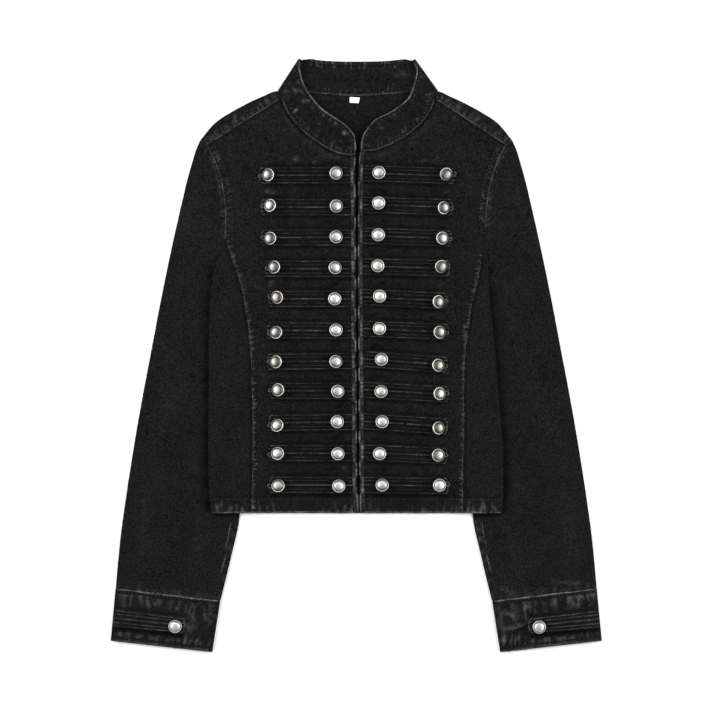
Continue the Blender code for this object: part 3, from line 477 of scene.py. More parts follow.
def cloth_shell(name, rows, step, thickness, dress, closed=False, keep=None):
    """A wall of denim on a coarse grid of middle points. dress(x, y) gives what the cloth
    rises by and how worn it is at each point, or how dark with painted shade where negative."""
    steps = step if isinstance(step, tuple) else (step, step)
    grid, row_of, column_of = refined(rows, steps, closed)
    points, raised, upper = grid[..., :3], grid[..., 3], np.clip(grid[..., 4], 0.0, 1.0)
    facing = grid_normals(points, closed)
    if not closed and facing[..., 2].mean() < 0:
        facing = -facing
    lift, worn = dress(points[..., 0], points[..., 1])
    points = points.copy()
    points[..., 2] += lift * upper
    normals = grid_normals(points, closed)
    flip = np.where((normals * facing).sum(axis=-1, keepdims=True) < 0, -1.0, 1.0)
    normals = normals * flip
    half = thickness / 2
    under = points - normals * half
    over = points + normals * (half + raised[..., None])
    kept = np.array([[keep is None or keep(r, c) for c in column_of] for r in row_of])
    flat = np.stack([under, over])
    number = np.arange(flat[..., 0].size).reshape(flat.shape[:3])
    a, b, d = over[0, 0], over[0, 1], over[1, 0]
    outward = np.dot(np.cross(b - a, d - a), normals[0, 0]) > 0
    faces = []
    for face in shell_faces(kept, closed):
        corners = [int(number[layer, r, c]) for layer, (r, c) in face]
        faces.append(corners if outward else corners[::-1])
    used = np.zeros(number.size, dtype=bool)
    used[[index for face in faces for index in face]] = True
    renumber = np.cumsum(used) - 1
    faces = [[int(renumber[index]) for index in face] for face in faces]
    facing_up = np.clip(normals[..., 2] * 4.0, -1.0, 1.0)
    wear = np.stack([worn * upper * np.maximum(-facing_up, 0.0),
                     worn * upper * np.maximum(facing_up, 0.0)])
    return new_object(remake(name), flat.reshape(-1, 3)[used], faces, finish("denim"),
                      wear.reshape(-1)[used])


# -------------------- puckers, creases, wear and painted shade

def smooth_line(points, step=2.5):
    """Points about step apart on a smooth curve through a few places in plan."""
    places = np.array([(p[0], p[1]) for p in points], dtype=float)
    knots = np.concatenate([[0.0], np.cumsum(np.linalg.norm(np.diff(places, axis=0), axis=1))])
    count = max(2, int(knots[-1] / step) + 1)
    return on_curve(places, knots, np.linspace(0.0, knots[-1], count))


def line_length(line):
    return np.concatenate([[0.0], np.cumsum(np.linalg.norm(np.diff(line, axis=0), axis=1))])


def beside(line, distance):
    """A line moved sideways; to the left of its run where distance is positive."""
    run = np.gradient(line, axis=0)
    run /= np.linalg.norm(run, axis=1, keepdims=True)
    return line + np.stack([-run[:, 1], run[:, 0]], axis=1) * distance


def between_ends(line, along, fade=4.0):
    """One beside a line and nothing past its ends."""
    length = line_length(line)[-1]
    return ease(0.0, fade, along) * (1.0 - ease(length - fade, length, along))


def along_line(line, x, y, reach):
    """Distance along a line and to its left, for points within reach of it."""
    shape = x.shape
    x, y = x.ravel(), y.ravel()
    low, high = line.min(axis=0) - reach, line.max(axis=0) + reach
    near = np.flatnonzero((x > low[0]) & (x < high[0]) & (y > low[1]) & (y < high[1]))
    along, away = np.zeros(x.size), np.full(x.size, 1e3)
    start, run = line[:-1], np.diff(line, axis=0)
    length = np.linalg.norm(run, axis=1)
    before = line_length(line)[:-1]
    for chunk in np.array_split(near, max(1, len(near) // 4000)):
        if not len(chunk):
            continue
        dx = x[chunk, None] - start[None, :, 0]
        dy = y[chunk, None] - start[None, :, 1]
        t = np.clip((dx * run[:, 0] + dy * run[:, 1]) / length ** 2, 0.0, 1.0)
        ox, oy = dx - t * run[:, 0], dy - t * run[:, 1]
        distance = np.hypot(ox, oy)
        best = distance.argmin(axis=1)
        pick = np.arange(len(chunk)), best
        left = run[best, 0] * dy[pick] - run[best, 1] * dx[pick]
        along[chunk] = before[best] + t[pick] * length[best]
        away[chunk] = distance[pick] * np.where(left < 0, -1.0, 1.0)
    return along.reshape(shape), away.reshape(shape)


# A seam or edge whose cloth puckers. line is its run; the puckers reach from it to one
# side (positive is left of the run); pitch is their usual spacing, lift their height and
# worn how light their tops are, while a little of it is taken off the whole puckered zone
# as painted shade that leaves the troughs darker; edge is how light the seam's own edge
# is; sharp is how narrow a pucker is at its narrowest and widest, as shares of the pitch.
Pucker = namedtuple("Pucker", "line reach pitch lift worn edge seed sharp",
                    defaults=((0.18, 0.42),))


def puckered(x, y, puckers):
    """What puckers raise the cloth by, how worn they leave their tops, and the painted shade that darkens
    the cloth between them.
    """
    lift, worn = np.zeros_like(x), np.zeros_like(x)
    for pucker in puckers:
        along, away = along_line(pucker.line, x, y, abs(pucker.reach) + 4.0)
        away = away * math.copysign(1.0, pucker.reach)
        draw = random.Random(pucker.seed)
        length = line_length(pucker.line)[-1]
        place = draw.uniform(0.0, pucker.pitch)
        ridge = np.zeros_like(x)
        zone = (1.0 - ease(abs(pucker.reach) * 0.45, abs(pucker.reach) * 1.05, away)) * (away > -1.0)
        zone = zone * (away < 900.0) * between_ends(pucker.line, along)
        while place < length:
            width = pucker.pitch * draw.uniform(*pucker.sharp)
            reach = abs(pucker.reach) * draw.uniform(0.5, 1.1)
            slant = draw.uniform(-0.3, 0.3)
            height = draw.uniform(0.4, 1.0)
            blot = 0.8 + 0.2 * np.cos(away * draw.uniform(0.15, 0.45) + draw.uniform(0.0, 6.3))
            across = np.exp(-((along - place - slant * away) / width) ** 2) * blot
            fade = (1.0 - ease(reach * 0.45, reach, away)) * (away > -1.0)
            ridge = np.maximum(ridge, height * across * fade)
            place += pucker.pitch * draw.uniform(0.55, 1.25)
        ridge = ridge * between_ends(pucker.line, along)
        lift += pucker.lift * ridge
        worn += pucker.worn * (ridge - 0.14 * zone)
        if pucker.edge:
            worn += pucker.edge * np.exp(-(np.clip(away, -0.5, 99.0) / 1.6) ** 2) * (away > -2.5)
    return lift, worn


# A crease listed from one point to another, with its half width, its height
# (negative for a trough) and how worn its top is. A negative worn darkens it: painted shade
# in the troughs between the bands and on the cuff, and unworn cloth in the scattered patches.
Crease = namedtuple("Crease", "from_x from_y to_x to_y width height worn")


def creased(x, y, creases):
    lift, worn = np.zeros_like(x), np.zeros_like(x)
    for crease in creases:
        run_x, run_y = crease.to_x - crease.from_x, crease.to_y - crease.from_y
        square = run_x ** 2 + run_y ** 2
        t = ((x - crease.from_x) * run_x + (y - crease.from_y) * run_y) / square
        away = ((x - crease.from_x) * run_y - (y - crease.from_y) * run_x) / math.sqrt(square)
        shape = np.exp(-(away / crease.width) ** 2) * ease(-0.15, 0.3, t) * (1.0 - ease(0.7, 1.15, t))
        lift += crease.height * shape
        worn += crease.worn * shape
    return lift, worn


# A soft line in the cloth, level with a seam or edge: the distance to the line's left, its
# half width, its height (negative for a groove) and how worn it is. A negative worn darkens
# the cloth: painted shade in the grooves beside seams, bands and tabs, painted shadows
# that the body casts on the sleeves, and in most wide lines simply darker cloth.
Shade = namedtuple("Shade", "line offset width lift worn seed")
SHADE_STOP = 7.0           # how far apart a soft line's strength is drawn


def shaded(x, y, shades):
    lift, worn = np.zeros_like(x), np.zeros_like(x)
    for shade in shades:
        along, away = along_line(shade.line, x, y, abs(shade.offset) + 3.0 * shade.width)
        draw = random.Random(shade.seed)
        stops = np.arange(0.0, line_length(shade.line)[-1] + SHADE_STOP, SHADE_STOP)
        level = np.interp(along, stops, [draw.uniform(0.45, 1.15) for _ in stops])
        shape = np.exp(-((away - shade.offset) / shade.width) ** 2) * level
        shape = shape * between_ends(shade.line, along)
        lift += shade.lift * shape
        worn += shade.worn * shape
    return lift, worn


def dressed(puckers=(), creases=(), shades=()):
    def dress(x, y):
        parts = (puckered(x, y, puckers), creased(x, y, creases), shaded(x, y, shades))
        return sum(part[0] for part in parts), np.clip(sum(part[1] for part in parts), -0.6, 0.45)
    return dress


def blots(corners, count, size, strength, seed):
    """Small worn and unworn patches scattered over the quadrilateral with these corners."""
    draw = random.Random(seed)
    low, high, far_low, far_high = (Vector(corner) for corner in corners)
    patches = []
    for _ in range(count):
        u, v = draw.random(), draw.random()
        at = low.lerp(high, v).lerp(far_low.lerp(far_high, v), u)
        turn, half = draw.uniform(0.0, math.pi), size * draw.uniform(0.5, 1.3)
        run = Vector((math.cos(turn), math.sin(turn))) * half
        level = strength * draw.uniform(-0.8, 1.0)
        patches.append(Crease(at.x - run.x, at.y - run.y, at.x + run.x, at.y + run.y,
                              size * draw.uniform(0.35, 0.7), 0.3 * level, level))
    return patches


# -------------------- finishes

# Near-black for deep unworn hollows, and for the painted shade and painted shadows that negative wear puts
# on the cloth.
UNWORN_AND_SHADE = (0.0012, 0.0012, 0.0012)
# The second colour is that of the patina in the grooves and of the painted shade on one side of each dome.
SILVER, PATINA_AND_SHADE = (0.80, 0.785, 0.76), (0.10, 0.09, 0.077)


def add_node(tree, kind, **settings):
    """A shader node; an input is named by its label or number, any other word is a property."""
    node = tree.nodes.new(kind)
    for key, value in settings.pop("inputs", {}).items():
        if isinstance(value, bpy.types.NodeSocket):
            tree.links.new(value, node.inputs[key])
        else:
            node.inputs[key].default_value = value
    for key, value in settings.items():
        setattr(node, key, value)
    return node


def new_finish(name, **shader_inputs):
    material = bpy.data.materials.new(name)
    material.use_nodes = True
    shader = material.node_tree.nodes["Principled BSDF"]
    for key, value in shader_inputs.items():
        shader.inputs[key.replace("_", " ")].default_value = value
    return material, material.node_tree, shader


def noise(tree, place, scale, detail=3.0, roughness=0.6, stretch=(1.0, 1.0, 1.0)):
    """Noise whose grains are drawn out: stretch is how often it repeats along each axis."""
    mapping = add_node(tree, "ShaderNodeMapping", inputs={"Vector": place, "Scale": stretch})
    return add_node(tree, "ShaderNodeTexNoise",
                    inputs={"Vector": mapping.outputs[0], "Scale": scale, "Detail": detail,
                            "Roughness": roughness}).outputs[0]


def combined(tree, operation, *terms, clamp=False):
    """Sockets or numbers put through a math node."""
    return add_node(tree, "ShaderNodeMath", operation=operation, use_clamp=clamp,
                    inputs=dict(enumerate(terms))).outputs[0]


def weighted(tree, terms):
    """A sum of (socket, weight) terms."""
    total = None
    for socket, weight in terms:
        part = combined(tree, "MULTIPLY", socket, weight)
        total = part if total is None else combined(tree, "ADD", total, part)
    return total


def ranged(tree, value, low, high, to_low=0.0, to_high=1.0):
    """A value between low and high, spread from to_low to to_high and held there beyond."""
    return add_node(tree, "ShaderNodeMapRange",
                    inputs={"Value": value, "From Min": low, "From Max": high,
                            "To Min": to_low, "To Max": to_high}).outputs[0]


def blended(tree, share, first, second):
    """The first colour where share is 0 and the second where it is 1."""
    first, second = [(*colour, 1.0) if isinstance(colour, tuple) else colour for colour in (first, second)]
    return add_node(tree, "ShaderNodeMix", data_type="RGBA",
                    inputs={0: share, 6: first, 7: second}).outputs[2]


def denim_finish(name, dark, light, worn):
    """Washed denim: a fine twill, slubs both ways, cloudy fading, worn tops of folds
    and deep unworn hollows, both read from its wear attribute, whose negative values also
    carry painted shade in grooves and painted shadows."""
    material, tree, shader = new_finish(name, Roughness=0.95, Specular_IOR_Level=0.02,
                                        Sheen_Weight=0.012, Sheen_Roughness=0.6)
    place = add_node(tree, "ShaderNodeTexCoord").outputs["Object"]
    warp = noise(tree, place, 640.0, 2.0, 0.6, (1.0, 0.5, 1.0))
    weft = noise(tree, place, 640.0, 2.0, 0.6, (0.45, 1.0, 1.0))
    grain = noise(tree, place, 600.0, 3.0, 0.7)
    cloud = noise(tree, place, 22.0, 5.0, 0.65)
    patch = noise(tree, place, 120.0, 3.0, 0.6, (1.0, 0.8, 1.0))
    twill = add_node(tree, "ShaderNodeTexWave", wave_type="BANDS", bands_direction="DIAGONAL",
                     inputs={"Vector": place, "Scale": 330.0, "Distortion": 1.2, "Detail": 1.0,
                             "Detail Scale": 2.0}).outputs["Fac"]
    parts = [(warp, 0.8), (weft, 0.7), (grain, 1.5), (cloud, 0.35), (patch, 0.22), (twill, 0.05)]
    middle = sum(weight for _, weight in parts) / 2
    faded = ranged(tree, weighted(tree, parts), middle - 0.32, middle + 0.5)
    wear = add_node(tree, "ShaderNodeAttribute", attribute_name="wear").outputs["Fac"]
    # Negative wear turns the cloth near-black: unworn hollows, and painted shade in grooves and painted
    # shadows.
    depth = ranged(tree, wear, -0.6, 0.0, 0.9, 0.0)
    base = blended(tree, depth, blended(tree, faded, dark, light), UNWORN_AND_SHADE)
    broken = weighted(tree, [(grain, 0.9), (patch, 1.2), (warp, 0.4)])
    ragged = ranged(tree, broken, 0.98, 1.52, 0.1, 1.7)
    amount = combined(tree, "MULTIPLY", wear, ragged, clamp=True)
    tree.links.new(blended(tree, amount, base, worn), shader.inputs["Base Color"])
    relief = weighted(tree, [(twill, 0.35), (warp, 0.4), (grain, 0.5)])
    bump = add_node(tree, "ShaderNodeBump", inputs={"Height": relief, "Strength": 0.35,
                                                    "Distance": 0.0004})
    tree.links.new(bump.outputs[0], shader.inputs["Normal"])
    return material


def silver_finish(name):
    """Antique silver: bright on its rim and dome, brown-grey where its patina and painted shade lie."""
    material, tree, shader = new_finish(name, Metallic=1.0)
    place = add_node(tree, "ShaderNodeTexCoord").outputs["Object"]
    tarnish = add_node(tree, "ShaderNodeAttribute", attribute_name="tarnish").outputs["Fac"]
    share = weighted(tree, [(tarnish, 1.0), (noise(tree, place, 340.0, 3.0, 0.55), 0.1)])
    colour = blended(tree, ranged(tree, share, 0.05, 1.1), SILVER, PATINA_AND_SHADE)
    tree.links.new(colour, shader.inputs["Base Color"])
    tree.links.new(ranged(tree, share, 0.05, 1.1, 0.42, 0.55), shader.inputs["Roughness"])
    return material


def thread_finish(name, dark, light):
    """Sewing thread or tape: fine slanting strands, between two greys."""
    material, tree, shader = new_finish(name, Roughness=0.8, Specular_IOR_Level=0.25)
    place = add_node(tree, "ShaderNodeTexCoord").outputs["Object"]
    share = weighted(tree, [(noise(tree, place, 1500.0, 2.0), 0.5), (noise(tree, place, 90.0), 0.6)])
    colour = blended(tree, share, (dark,) * 3, (light,) * 3)
    tree.links.new(colour, shader.inputs["Base Color"])
    return material


FINISHES = {}


def finish(name):
    """The named finish, made the first time it is asked for."""
    if name not in FINISHES:
        looks = bpy.context.scene.jacket_looks
        dark, light, worn = tuple(looks.denim_dark), tuple(looks.denim_light), tuple(looks.denim_worn)
        makers = {
            "denim": lambda: denim_finish("washed_black_denim", dark, light, worn),
            "ribbed": lambda: denim_finish("ribbed_black_denim", tuple(0.8 * v for v in dark),
                                           tuple(0.85 * v for v in light), worn),
            "silver": lambda: silver_finish("antique_silver"),
            "thread": lambda: thread_finish("charcoal_thread", 0.005, 0.034),
            "pale_thread": lambda: thread_finish("grey_thread", 0.02, 0.11),
            "label": lambda: thread_finish("white_tape", 0.70, 0.86),
        }
        FINISHES[name] = makers[name]()
    return FINISHES[name]


# -------------------- seams and edges in plan

# How far from the armpit the marks of the armhole, and from its own top those of the
# princess seam, fade out.
Quiet = namedtuple("Quiet", "armhole princess")
QUIET_ARMPIT = {LEFT: Quiet(30.0, 6.0), RIGHT: Quiet(34.0, 22.0)}


def side_lines(side):
    """The seam and edge lines of one side of the jacket in plan, by name."""
    sign, collar, fold, tab = SIGN[side], COLLAR_FRONT[side], COLLAR_FOLD[side], CUFF_TAB[side]
    band_top = BANDS[0].left_front_y + ABOVE_BANDS
    hole = smooth_line(armhole(side)[1:])
    from_armpit = np.hypot(*(hole - np.array(armpit(side))).T)

    def edge(rows, low, high, count=12):
        return smooth_line([at_height(rows, side, y) for y in spread(low, high, count)])

    def across_hem(*edges):
        return smooth_line([(sign * table_at(rows, side, HEM_Y), HEM_Y) for rows in edges])

    collar_top = [(collar[0].seam_out, collar[0].seam_y)]
    collar_top += [(row.top_out, row.top_y) for row in collar + [fold]]
    return {
        "armhole": hole[from_armpit > QUIET_ARMPIT[side].armhole],
        "neck": smooth_line([(sign * row.seam_out, row.seam_y) for row in collar]),
        "shoulder": smooth_line([armhole(side)[1], (sign * collar[-1].seam_out, collar[-1].seam_y)]),
        "princess": edge(PRINCESS, HEM_Y, PRINCESS[-1].y - QUIET_ARMPIT[side].princess),
        "hem": across_hem(FRONT_EDGE, SIDE_EDGE),
        "sleeve_at_hem": across_hem(SIDE_EDGE, SLEEVE_INNER),
        "side_edge": edge(SIDE_EDGE, HEM_Y, armpit(side).y, 14),
        "inner_sleeve": edge(SLEEVE_INNER, -60.0, SLEEVE_INNER[0].y),
        "under_bands": smooth_line([(sign * BANDS_OUT, HEM_Y), (sign * BANDS_OUT, band_top)]),
        "collar_top": smooth_line([(sign * out, y) for out, y in collar_top], 2.0),
        "cuff_seam": smooth_line(corners(CUFF_SEAM, side)),
        "cuff_end": smooth_line(corners(CUFF_END, side)),
        "tab": smooth_line([(sign * tab.start_out, tab.start_y), (sign * tab.end_out, tab.end_y)]),
    }


def back_collar_lines():
    """The collar's seam and its top edge across the back."""
    return (smooth_line([(row.seam_out, row.seam_y) for row in COLLAR_BACK]),
            smooth_line([(row.top_out, row.top_y) for row in COLLAR_BACK]))


def near_middle(line, out):
    return line[np.abs(line[:, 0]) < out]


MIRRORED = ("reach", "offset", "near", "far")  # columns that are distances from a line


def on_side(marks, side):
    """The marks of a table on one side. A mark names its line, and the pieces it lies on
    with * for the side. Distances turn over on the left, draws are the side's own, and an
    end below 0 is counted back from the line's end."""
    lines, sign = side_lines(side), SIGN[side]
    placed = []
    for mark in marks:
        own, line = mark._asdict(), lines[mark.line]
        own.update({column: sign * own[column] for column in MIRRORED if column in own})
        if "seed" in own:
            own["seed"] += sign
        if "onto" in own:
            own["onto"] = tuple(name.replace("*", side) for name in mark.onto)
        # Wash scales the rubbed marks and the painted shade of the soft lines alike.
        if isinstance(mark, (Pucker, Shade)):
            own["worn"] *= bpy.context.scene.jacket_looks.wash
        if (own.get("end") or 0.0) < 0.0:
            own["end"] += line_length(line)[-1]
        placed.append(mark._replace(**{**own, "line": line}))
    return placed


def finished(obj, slot, *nodes):
    """Puts a piece on the jacket's body and hides the nodes it replaces; slot is not used."""
    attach(obj, BODY)
    if nodes:
        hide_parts(*nodes)
    return obj


def remake(name):
    """Takes away an earlier piece of that name, so that an operator can run again."""
    old = bpy.data.objects.get(name)
    if old is not None and name not in frame["nodes"]:
        bpy.data.objects.remove(old, do_unlink=True)
    return name


# -------------------- back

def fold_points(edge, inward, low, high, wall, angles):
    """Middle-surface points round a fold whose outside reaches edge."""
    radius = (high - low) / 2
    depth = max(radius, LEAST_FOLD)
    points = []
    for angle in angles:
        inset = wall / 2 + depth * (1 - math.cos(math.radians(angle)))
        height = (low + high) / 2 + radius * math.sin(math.radians(angle))
        points.append(place_at(edge + inward * inset, height, 0.0, (angle + 90) / 180.0))
    return points


def station(row, side=RIGHT):
    """Where a station of the collar lies on the neck seam, and at the top edge."""
    return on(side, row.seam_out, row.seam_y), on(side, row.top_out, row.top_y)


def shoulder_line(side):
    fold = [on(side, out, y) for out, y in SHOULDER_FOLD]
    neck = [station(row, side)[0] for row in (COLLAR_FOLD[side], COLLAR_FRONT[side][-1])]
    beside_neck, inner = moved(neck, WIDE_SEAM, outside_of(side))
    fold.append(beside_neck - Vector((0.0, NECK_STEP)))
    outer = armhole(side)[1]
    seam = [outer.lerp(inner, k / (len(fold) - 1)) for k in range(len(fold))]
    return list(zip(fold, seam))


def shoulder_wrap(side):
    columns = []
    for edge, seam in shoulder_line(side):
        inward = (seam - edge).normalized()
        high = under_front(edge.x, edge.y) + DENIM / 2
        points = fold_points(edge, inward, DENIM / 2, high, DENIM, HALF_TURN)
        stop = seam - inward * SEAM
        points.append(place_at(stop, under_front(seam.x, seam.y) + DENIM / 2))
        columns.append(points)
    return columns


def back_rows():
    wraps = {side: shoulder_wrap(side) for side in SIGN}
    outs = [-table_at(SIDE_EDGE, LEFT, HEM_Y)] + [-out for out in BACK_HEM_COLUMNS] + [0.0]
    outs += BACK_HEM_COLUMNS[::-1] + [table_at(SIDE_EDGE, RIGHT, HEM_Y)]
    hem = [Vector((out, HEM_Y)) for out in outs]
    shoulder = {side: [Vector(column[0][:2]) for column in wraps[side]] for side in wraps}
    neck = [Vector((row.seam_out, row.seam_y - WIDE_SEAM)) for row in COLLAR_BACK]
    top = shoulder[LEFT] + neck + list(reversed(shoulder[RIGHT]))

    def edge(side):
        sides = [at_height(SIDE_EDGE, side, y) for y in BACK_SIDE_Y]
        return sides + list(reversed(armhole(side)[1:]))

    left, right = edge(LEFT) + [top[0]], edge(RIGHT) + [top[-1]]
    count = len(left) - 1
    rows = []
    for r, (a, b) in enumerate(zip(left, right)):
        v = ((a.y + b.y) / 2 - HEM_Y) / (top[0].y - HEM_Y) if r < count else 1.0
        row = []
        for low, high in zip(hem, top):
            u = (low.x - hem[0].x) / (hem[-1].x - hem[0].x)
            corners = (hem[0].lerp(hem[-1], u)).lerp(top[0].lerp(top[-1], u), v)
            place = low.lerp(high, v) + a.lerp(b, u) - corners
            open_to_view = ease(78.0, 60.0, abs(place.x)) * ease(200.0, 222.0, place.y)
            row.append(place_at(place, under_back(place.x, place.y) + DENIM / 2, 0.0, open_to_view))
        rows.append(row)
    main = len(rows) - 1
    for step in range(1, len(wraps[LEFT][0])):
        row = [column[step] for column in wraps[LEFT]]
        row += [(place.x, place.y + step, DENIM / 2, 0.0, 0.0) for place in neck]
        row += [column[step] for column in reversed(wraps[RIGHT])]
        rows.append(row)
    spans = len(top) - 1
    shoulders = len(SHOULDER_FOLD)

    def on_wrap(c):
        return c < shoulders or c >= spans - shoulders

    steps = (lambda r: BACK_STEP if r < main else WRAP_STEP,
             lambda c: WRAP_STEP if on_wrap(c) else BACK_STEP)
    return rows, steps, lambda r, c: r < main or on_wrap(c)


# -------------------- fronts

def panel_heights(top):
    """Heights of the rows of a front panel, close together at the turned hem."""
    stitch = HEM_Y + HEM_DEPTH
    return [HEM_Y, stitch, stitch + STEP] + spread(stitch + STEP, top, PANEL_ROWS)[1:]


def princess_line(side, away):
    shift = Vector((SIGN[side] * away, 0.0))
    heights = panel_heights(armhole(side)[PRINCESS_STATION].y)
    return [at_height(PRINCESS, side, y) + shift for y in heights]


def on_front(place, row):
    return place_at(place, under_front(place.x, place.y) + DENIM / 2, HEM_EXTRA if row <= 1 else 0.0)


def front_columns(outer, inner):
    foot = (abs(outer.x) - RAMP_FOOT) / abs(outer.x - inner.x)
    foot = min(max(foot, 0.08), 0.25)
    return spread(0.0, foot, 4) + spread(foot, 1.0, 7)[1:]


def front_rows(side):
    seam_shift = Vector((SIGN[side] * SEAM / 2, 0.0))
    outer = princess_line(side, -SEAM / 2)
    beside_sleeve = armhole(side)[1:PRINCESS_STATION + 1]
    outer += [point - seam_shift for point in split(beside_sleeve[::-1], 2)[1:]]
    neck = [station(row, side)[0] for row in COLLAR_FRONT[side]]
    neck = moved(neck, SEAM, Vector((neck[-1].x, HEM_Y)))
    heights = panel_heights(armhole(side)[PRINCESS_STATION].y)
    rest = len(outer) - len(heights) - len(neck) + 1
    heights += spread(heights[-1], neck[0].y, rest + 1)[1:-1]
    inner = [at_height(FRONT_EDGE, side, y) for y in heights] + neck
    return [[on_front(a.lerp(b, u), r) for u in front_columns(a, b)]
            for r, (a, b) in enumerate(zip(outer, inner))]


def side_front_rows(side):
    inner = princess_line(side, SEAM / 2)
    pit = armpit(side)
    outer = [at_height(SIDE_EDGE, side, y) for y in panel_heights(pit.y)[:-1]] + [pit]
    top = split(armhole(side)[PRINCESS_STATION:], 2)
    armhole_run, princess_run = (top[1] - top[0]).normalized(), (inner[-1] - inner[-2]).normalized()
    top[0] = top[0] + armhole_run * SEAM / 2 / abs(armhole_run.cross(princess_run))
    inner[-1] = top[0]
    shares = [k / (len(top) - 1) for k in range(len(top))]
    rows = []
    for r, (a, b) in enumerate(zip(inner, outer)):
        bend = ease(0.55, 1.0, r / (len(inner) - 1))
        rows.append([on_front(a.lerp(b, u) + (edge - top[0].lerp(top[-1], u)) * float(bend), r)
                     for u, edge in zip(shares, top)])
    return rows


# -------------------- collar

def collar_points(row, side, height):
    """Points of the collar at one station, from its seam to its top edge."""
    seam, top = station(row, side)
    return [place_at(seam.lerp(top, share), height) for share in spread(0.0, 1.0, COLLAR_LAYERS)]


def collar_front(side):
    places = [station(row, side)[0] for row in COLLAR_FRONT[side]]
    return [collar_points(row, side, under_front(place.x, place.y) + COLLAR_WALL / 2)
            for row, place in zip(COLLAR_FRONT[side], places)]


def collar_fold(side):
    seam, top = station(COLLAR_FOLD[side], side)
    along_seam = (station(COLLAR_FRONT[side][-1], side)[0] - seam).normalized()
    axis = (top - seam).normalized()
    square = Vector((axis.y, -axis.x)) * -SIGN[side]
    high = under_front(seam.x, seam.y) + COLLAR_WALL / 2
    lines = []
    for share in spread(0.0, 1.0, COLLAR_LAYERS):
        inward = along_seam.lerp(square, share).normalized()
        lines.append(fold_points(seam.lerp(top, share), inward, COLLAR_WALL / 2, high,
                                 COLLAR_WALL, HALF_TURN[::-1]))
    return list(map(list, zip(*lines)))


def collar_columns():
    # The back's stations run from left to right, and are measured as x.
    back = [collar_points(row, RIGHT, COLLAR_WALL / 2) for row in COLLAR_BACK]
    return (collar_front(LEFT) + collar_fold(LEFT) + back
            + collar_fold(RIGHT)[::-1] + collar_front(RIGHT)[::-1])


# -------------------- sleeves and cuffs

def tube_ring(outer, inner, low_at, high_at, wall, columns, inner_turn):
    run = (inner - outer).normalized()
    outside = fold_points(outer, run, low_at(outer), high_at(outer), wall, HALF_TURN)
    low, high = low_at(inner), high_at(inner)
    if inner_turn:
        inside = fold_points(inner, -run, low, high, wall, inner_turn)
    else:
        inside = [place_at(inner, high), place_at(inner, (low + high) / 2, 0.0, 0.5),
                  place_at(inner, low, 0.0, 0.0)]

    def between(start, end, height_at, upper):
        plans = [Vector(start[:2]).lerp(Vector(end[:2]), w)
                 for w in spread(0.0, 1.0, columns + 2)[1:-1]]
        return [place_at(plan, height_at(plan), 0.0, upper) for plan in plans]

    return (outside + between(outside[-1], inside[0], high_at, 1.0)
            + inside + between(inside[-1], outside[0], low_at, 0.0))


def sleeve_lines(side):
    seam = armhole(side)
    edge = moved(seam, WIDE_SEAM, outside_of(side))
    rows = [(edge[0], edge[1], seam[1])]
    for outer_y, inner, sewn in list(zip(CAP_OUTER_Y, edge[1:], seam[1:]))[1:]:
        rows.append((at_height(SLEEVE_OUTER, side, outer_y), inner, sewn))
    pit = seam[-1]
    for row in [Row(r.outer_y, pit.y + r.inner_y) for r in UNDERARM_ROWS] + SLEEVE_ROWS:
        rows.append((at_height(SLEEVE_OUTER, side, row.outer_y),
                     at_height(SLEEVE_INNER, side, row.inner_y), pit))
    return rows


def sleeve_rings(side):
    rows = sleeve_lines(side)
    underarm = len(CAP_OUTER_Y) - 1
    rings = []
    for k, (outer, inner, sewn) in enumerate(rows):
        fixed = rows[min(k, underarm)][1]
        reach = mix(SEAM_REACH, UNDERARM_REACH, ease(0.45, 1.0, k / underarm))

        def held(plan):
            return 1.0 - ease(0.0, reach, (plan - fixed).length)

        def low_at(plan):
            return DENIM / 2 + held(plan) * under_back(sewn.x, sewn.y)

        def high_at(plan):
            free = DENIM * 1.5 + inside_sleeve(plan.x, plan.y)
            return mix(free, under_front(sewn.x, sewn.y) + DENIM / 2, held(plan))

        turn = (90, 0, -90) if k >= underarm else None
        rings.append(tube_ring(outer, inner, low_at, high_at, DENIM, SLEEVE_COLUMNS, turn))
    fold_at = len(rings[0]) - SLEEVE_COLUMNS - 3
    return rings, lambda r, c: r >= underarm or c not in (fold_at, fold_at + 1)


def corners(edge, side):
    """The outer and inner end of a cuff's edge in plan."""
    return on(side, edge.outer_out, edge.outer_y), on(side, edge.inner_out, edge.inner_y)


def cuff_rings(side):
    start, end = corners(CUFF_SEAM, side), corners(CUFF_END, side)
    rings = []
    for share in spread(0.0, 1.0, CUFF_RINGS):
        outer, inner = start[0].lerp(end[0], share), start[1].lerp(end[1], share)
        rings.append(tube_ring(outer, inner, lambda plan: CUFF_WALL / 2,
                               lambda plan: CUFF_WALL * 1.5 + CUFF_INSIDE,
                               CUFF_WALL, SLEEVE_COLUMNS, HALF_TURN[::-1]))
    return rings


# -------------------- heights under sewing

TREES = {}


def surface_at(names, x, y):
    """Height of the uppermost of the named pieces at a place, in millimetres."""
    best = None
    for name in names:
        if name not in TREES:
            mesh = bpy.data.objects[name].data
            TREES[name] = BVHTree.FromPolygons([v.co.copy() for v in mesh.vertices],
                                               [tuple(p.vertices) for p in mesh.polygons])
        hit = TREES[name].ray_cast(Vector((x * MM, y * MM, 0.06)), Vector((0.0, 0.0, -1.0)))[0]
        if hit is not None and (best is None or hit.z / MM > best):
            best = hit.z / MM
    return best


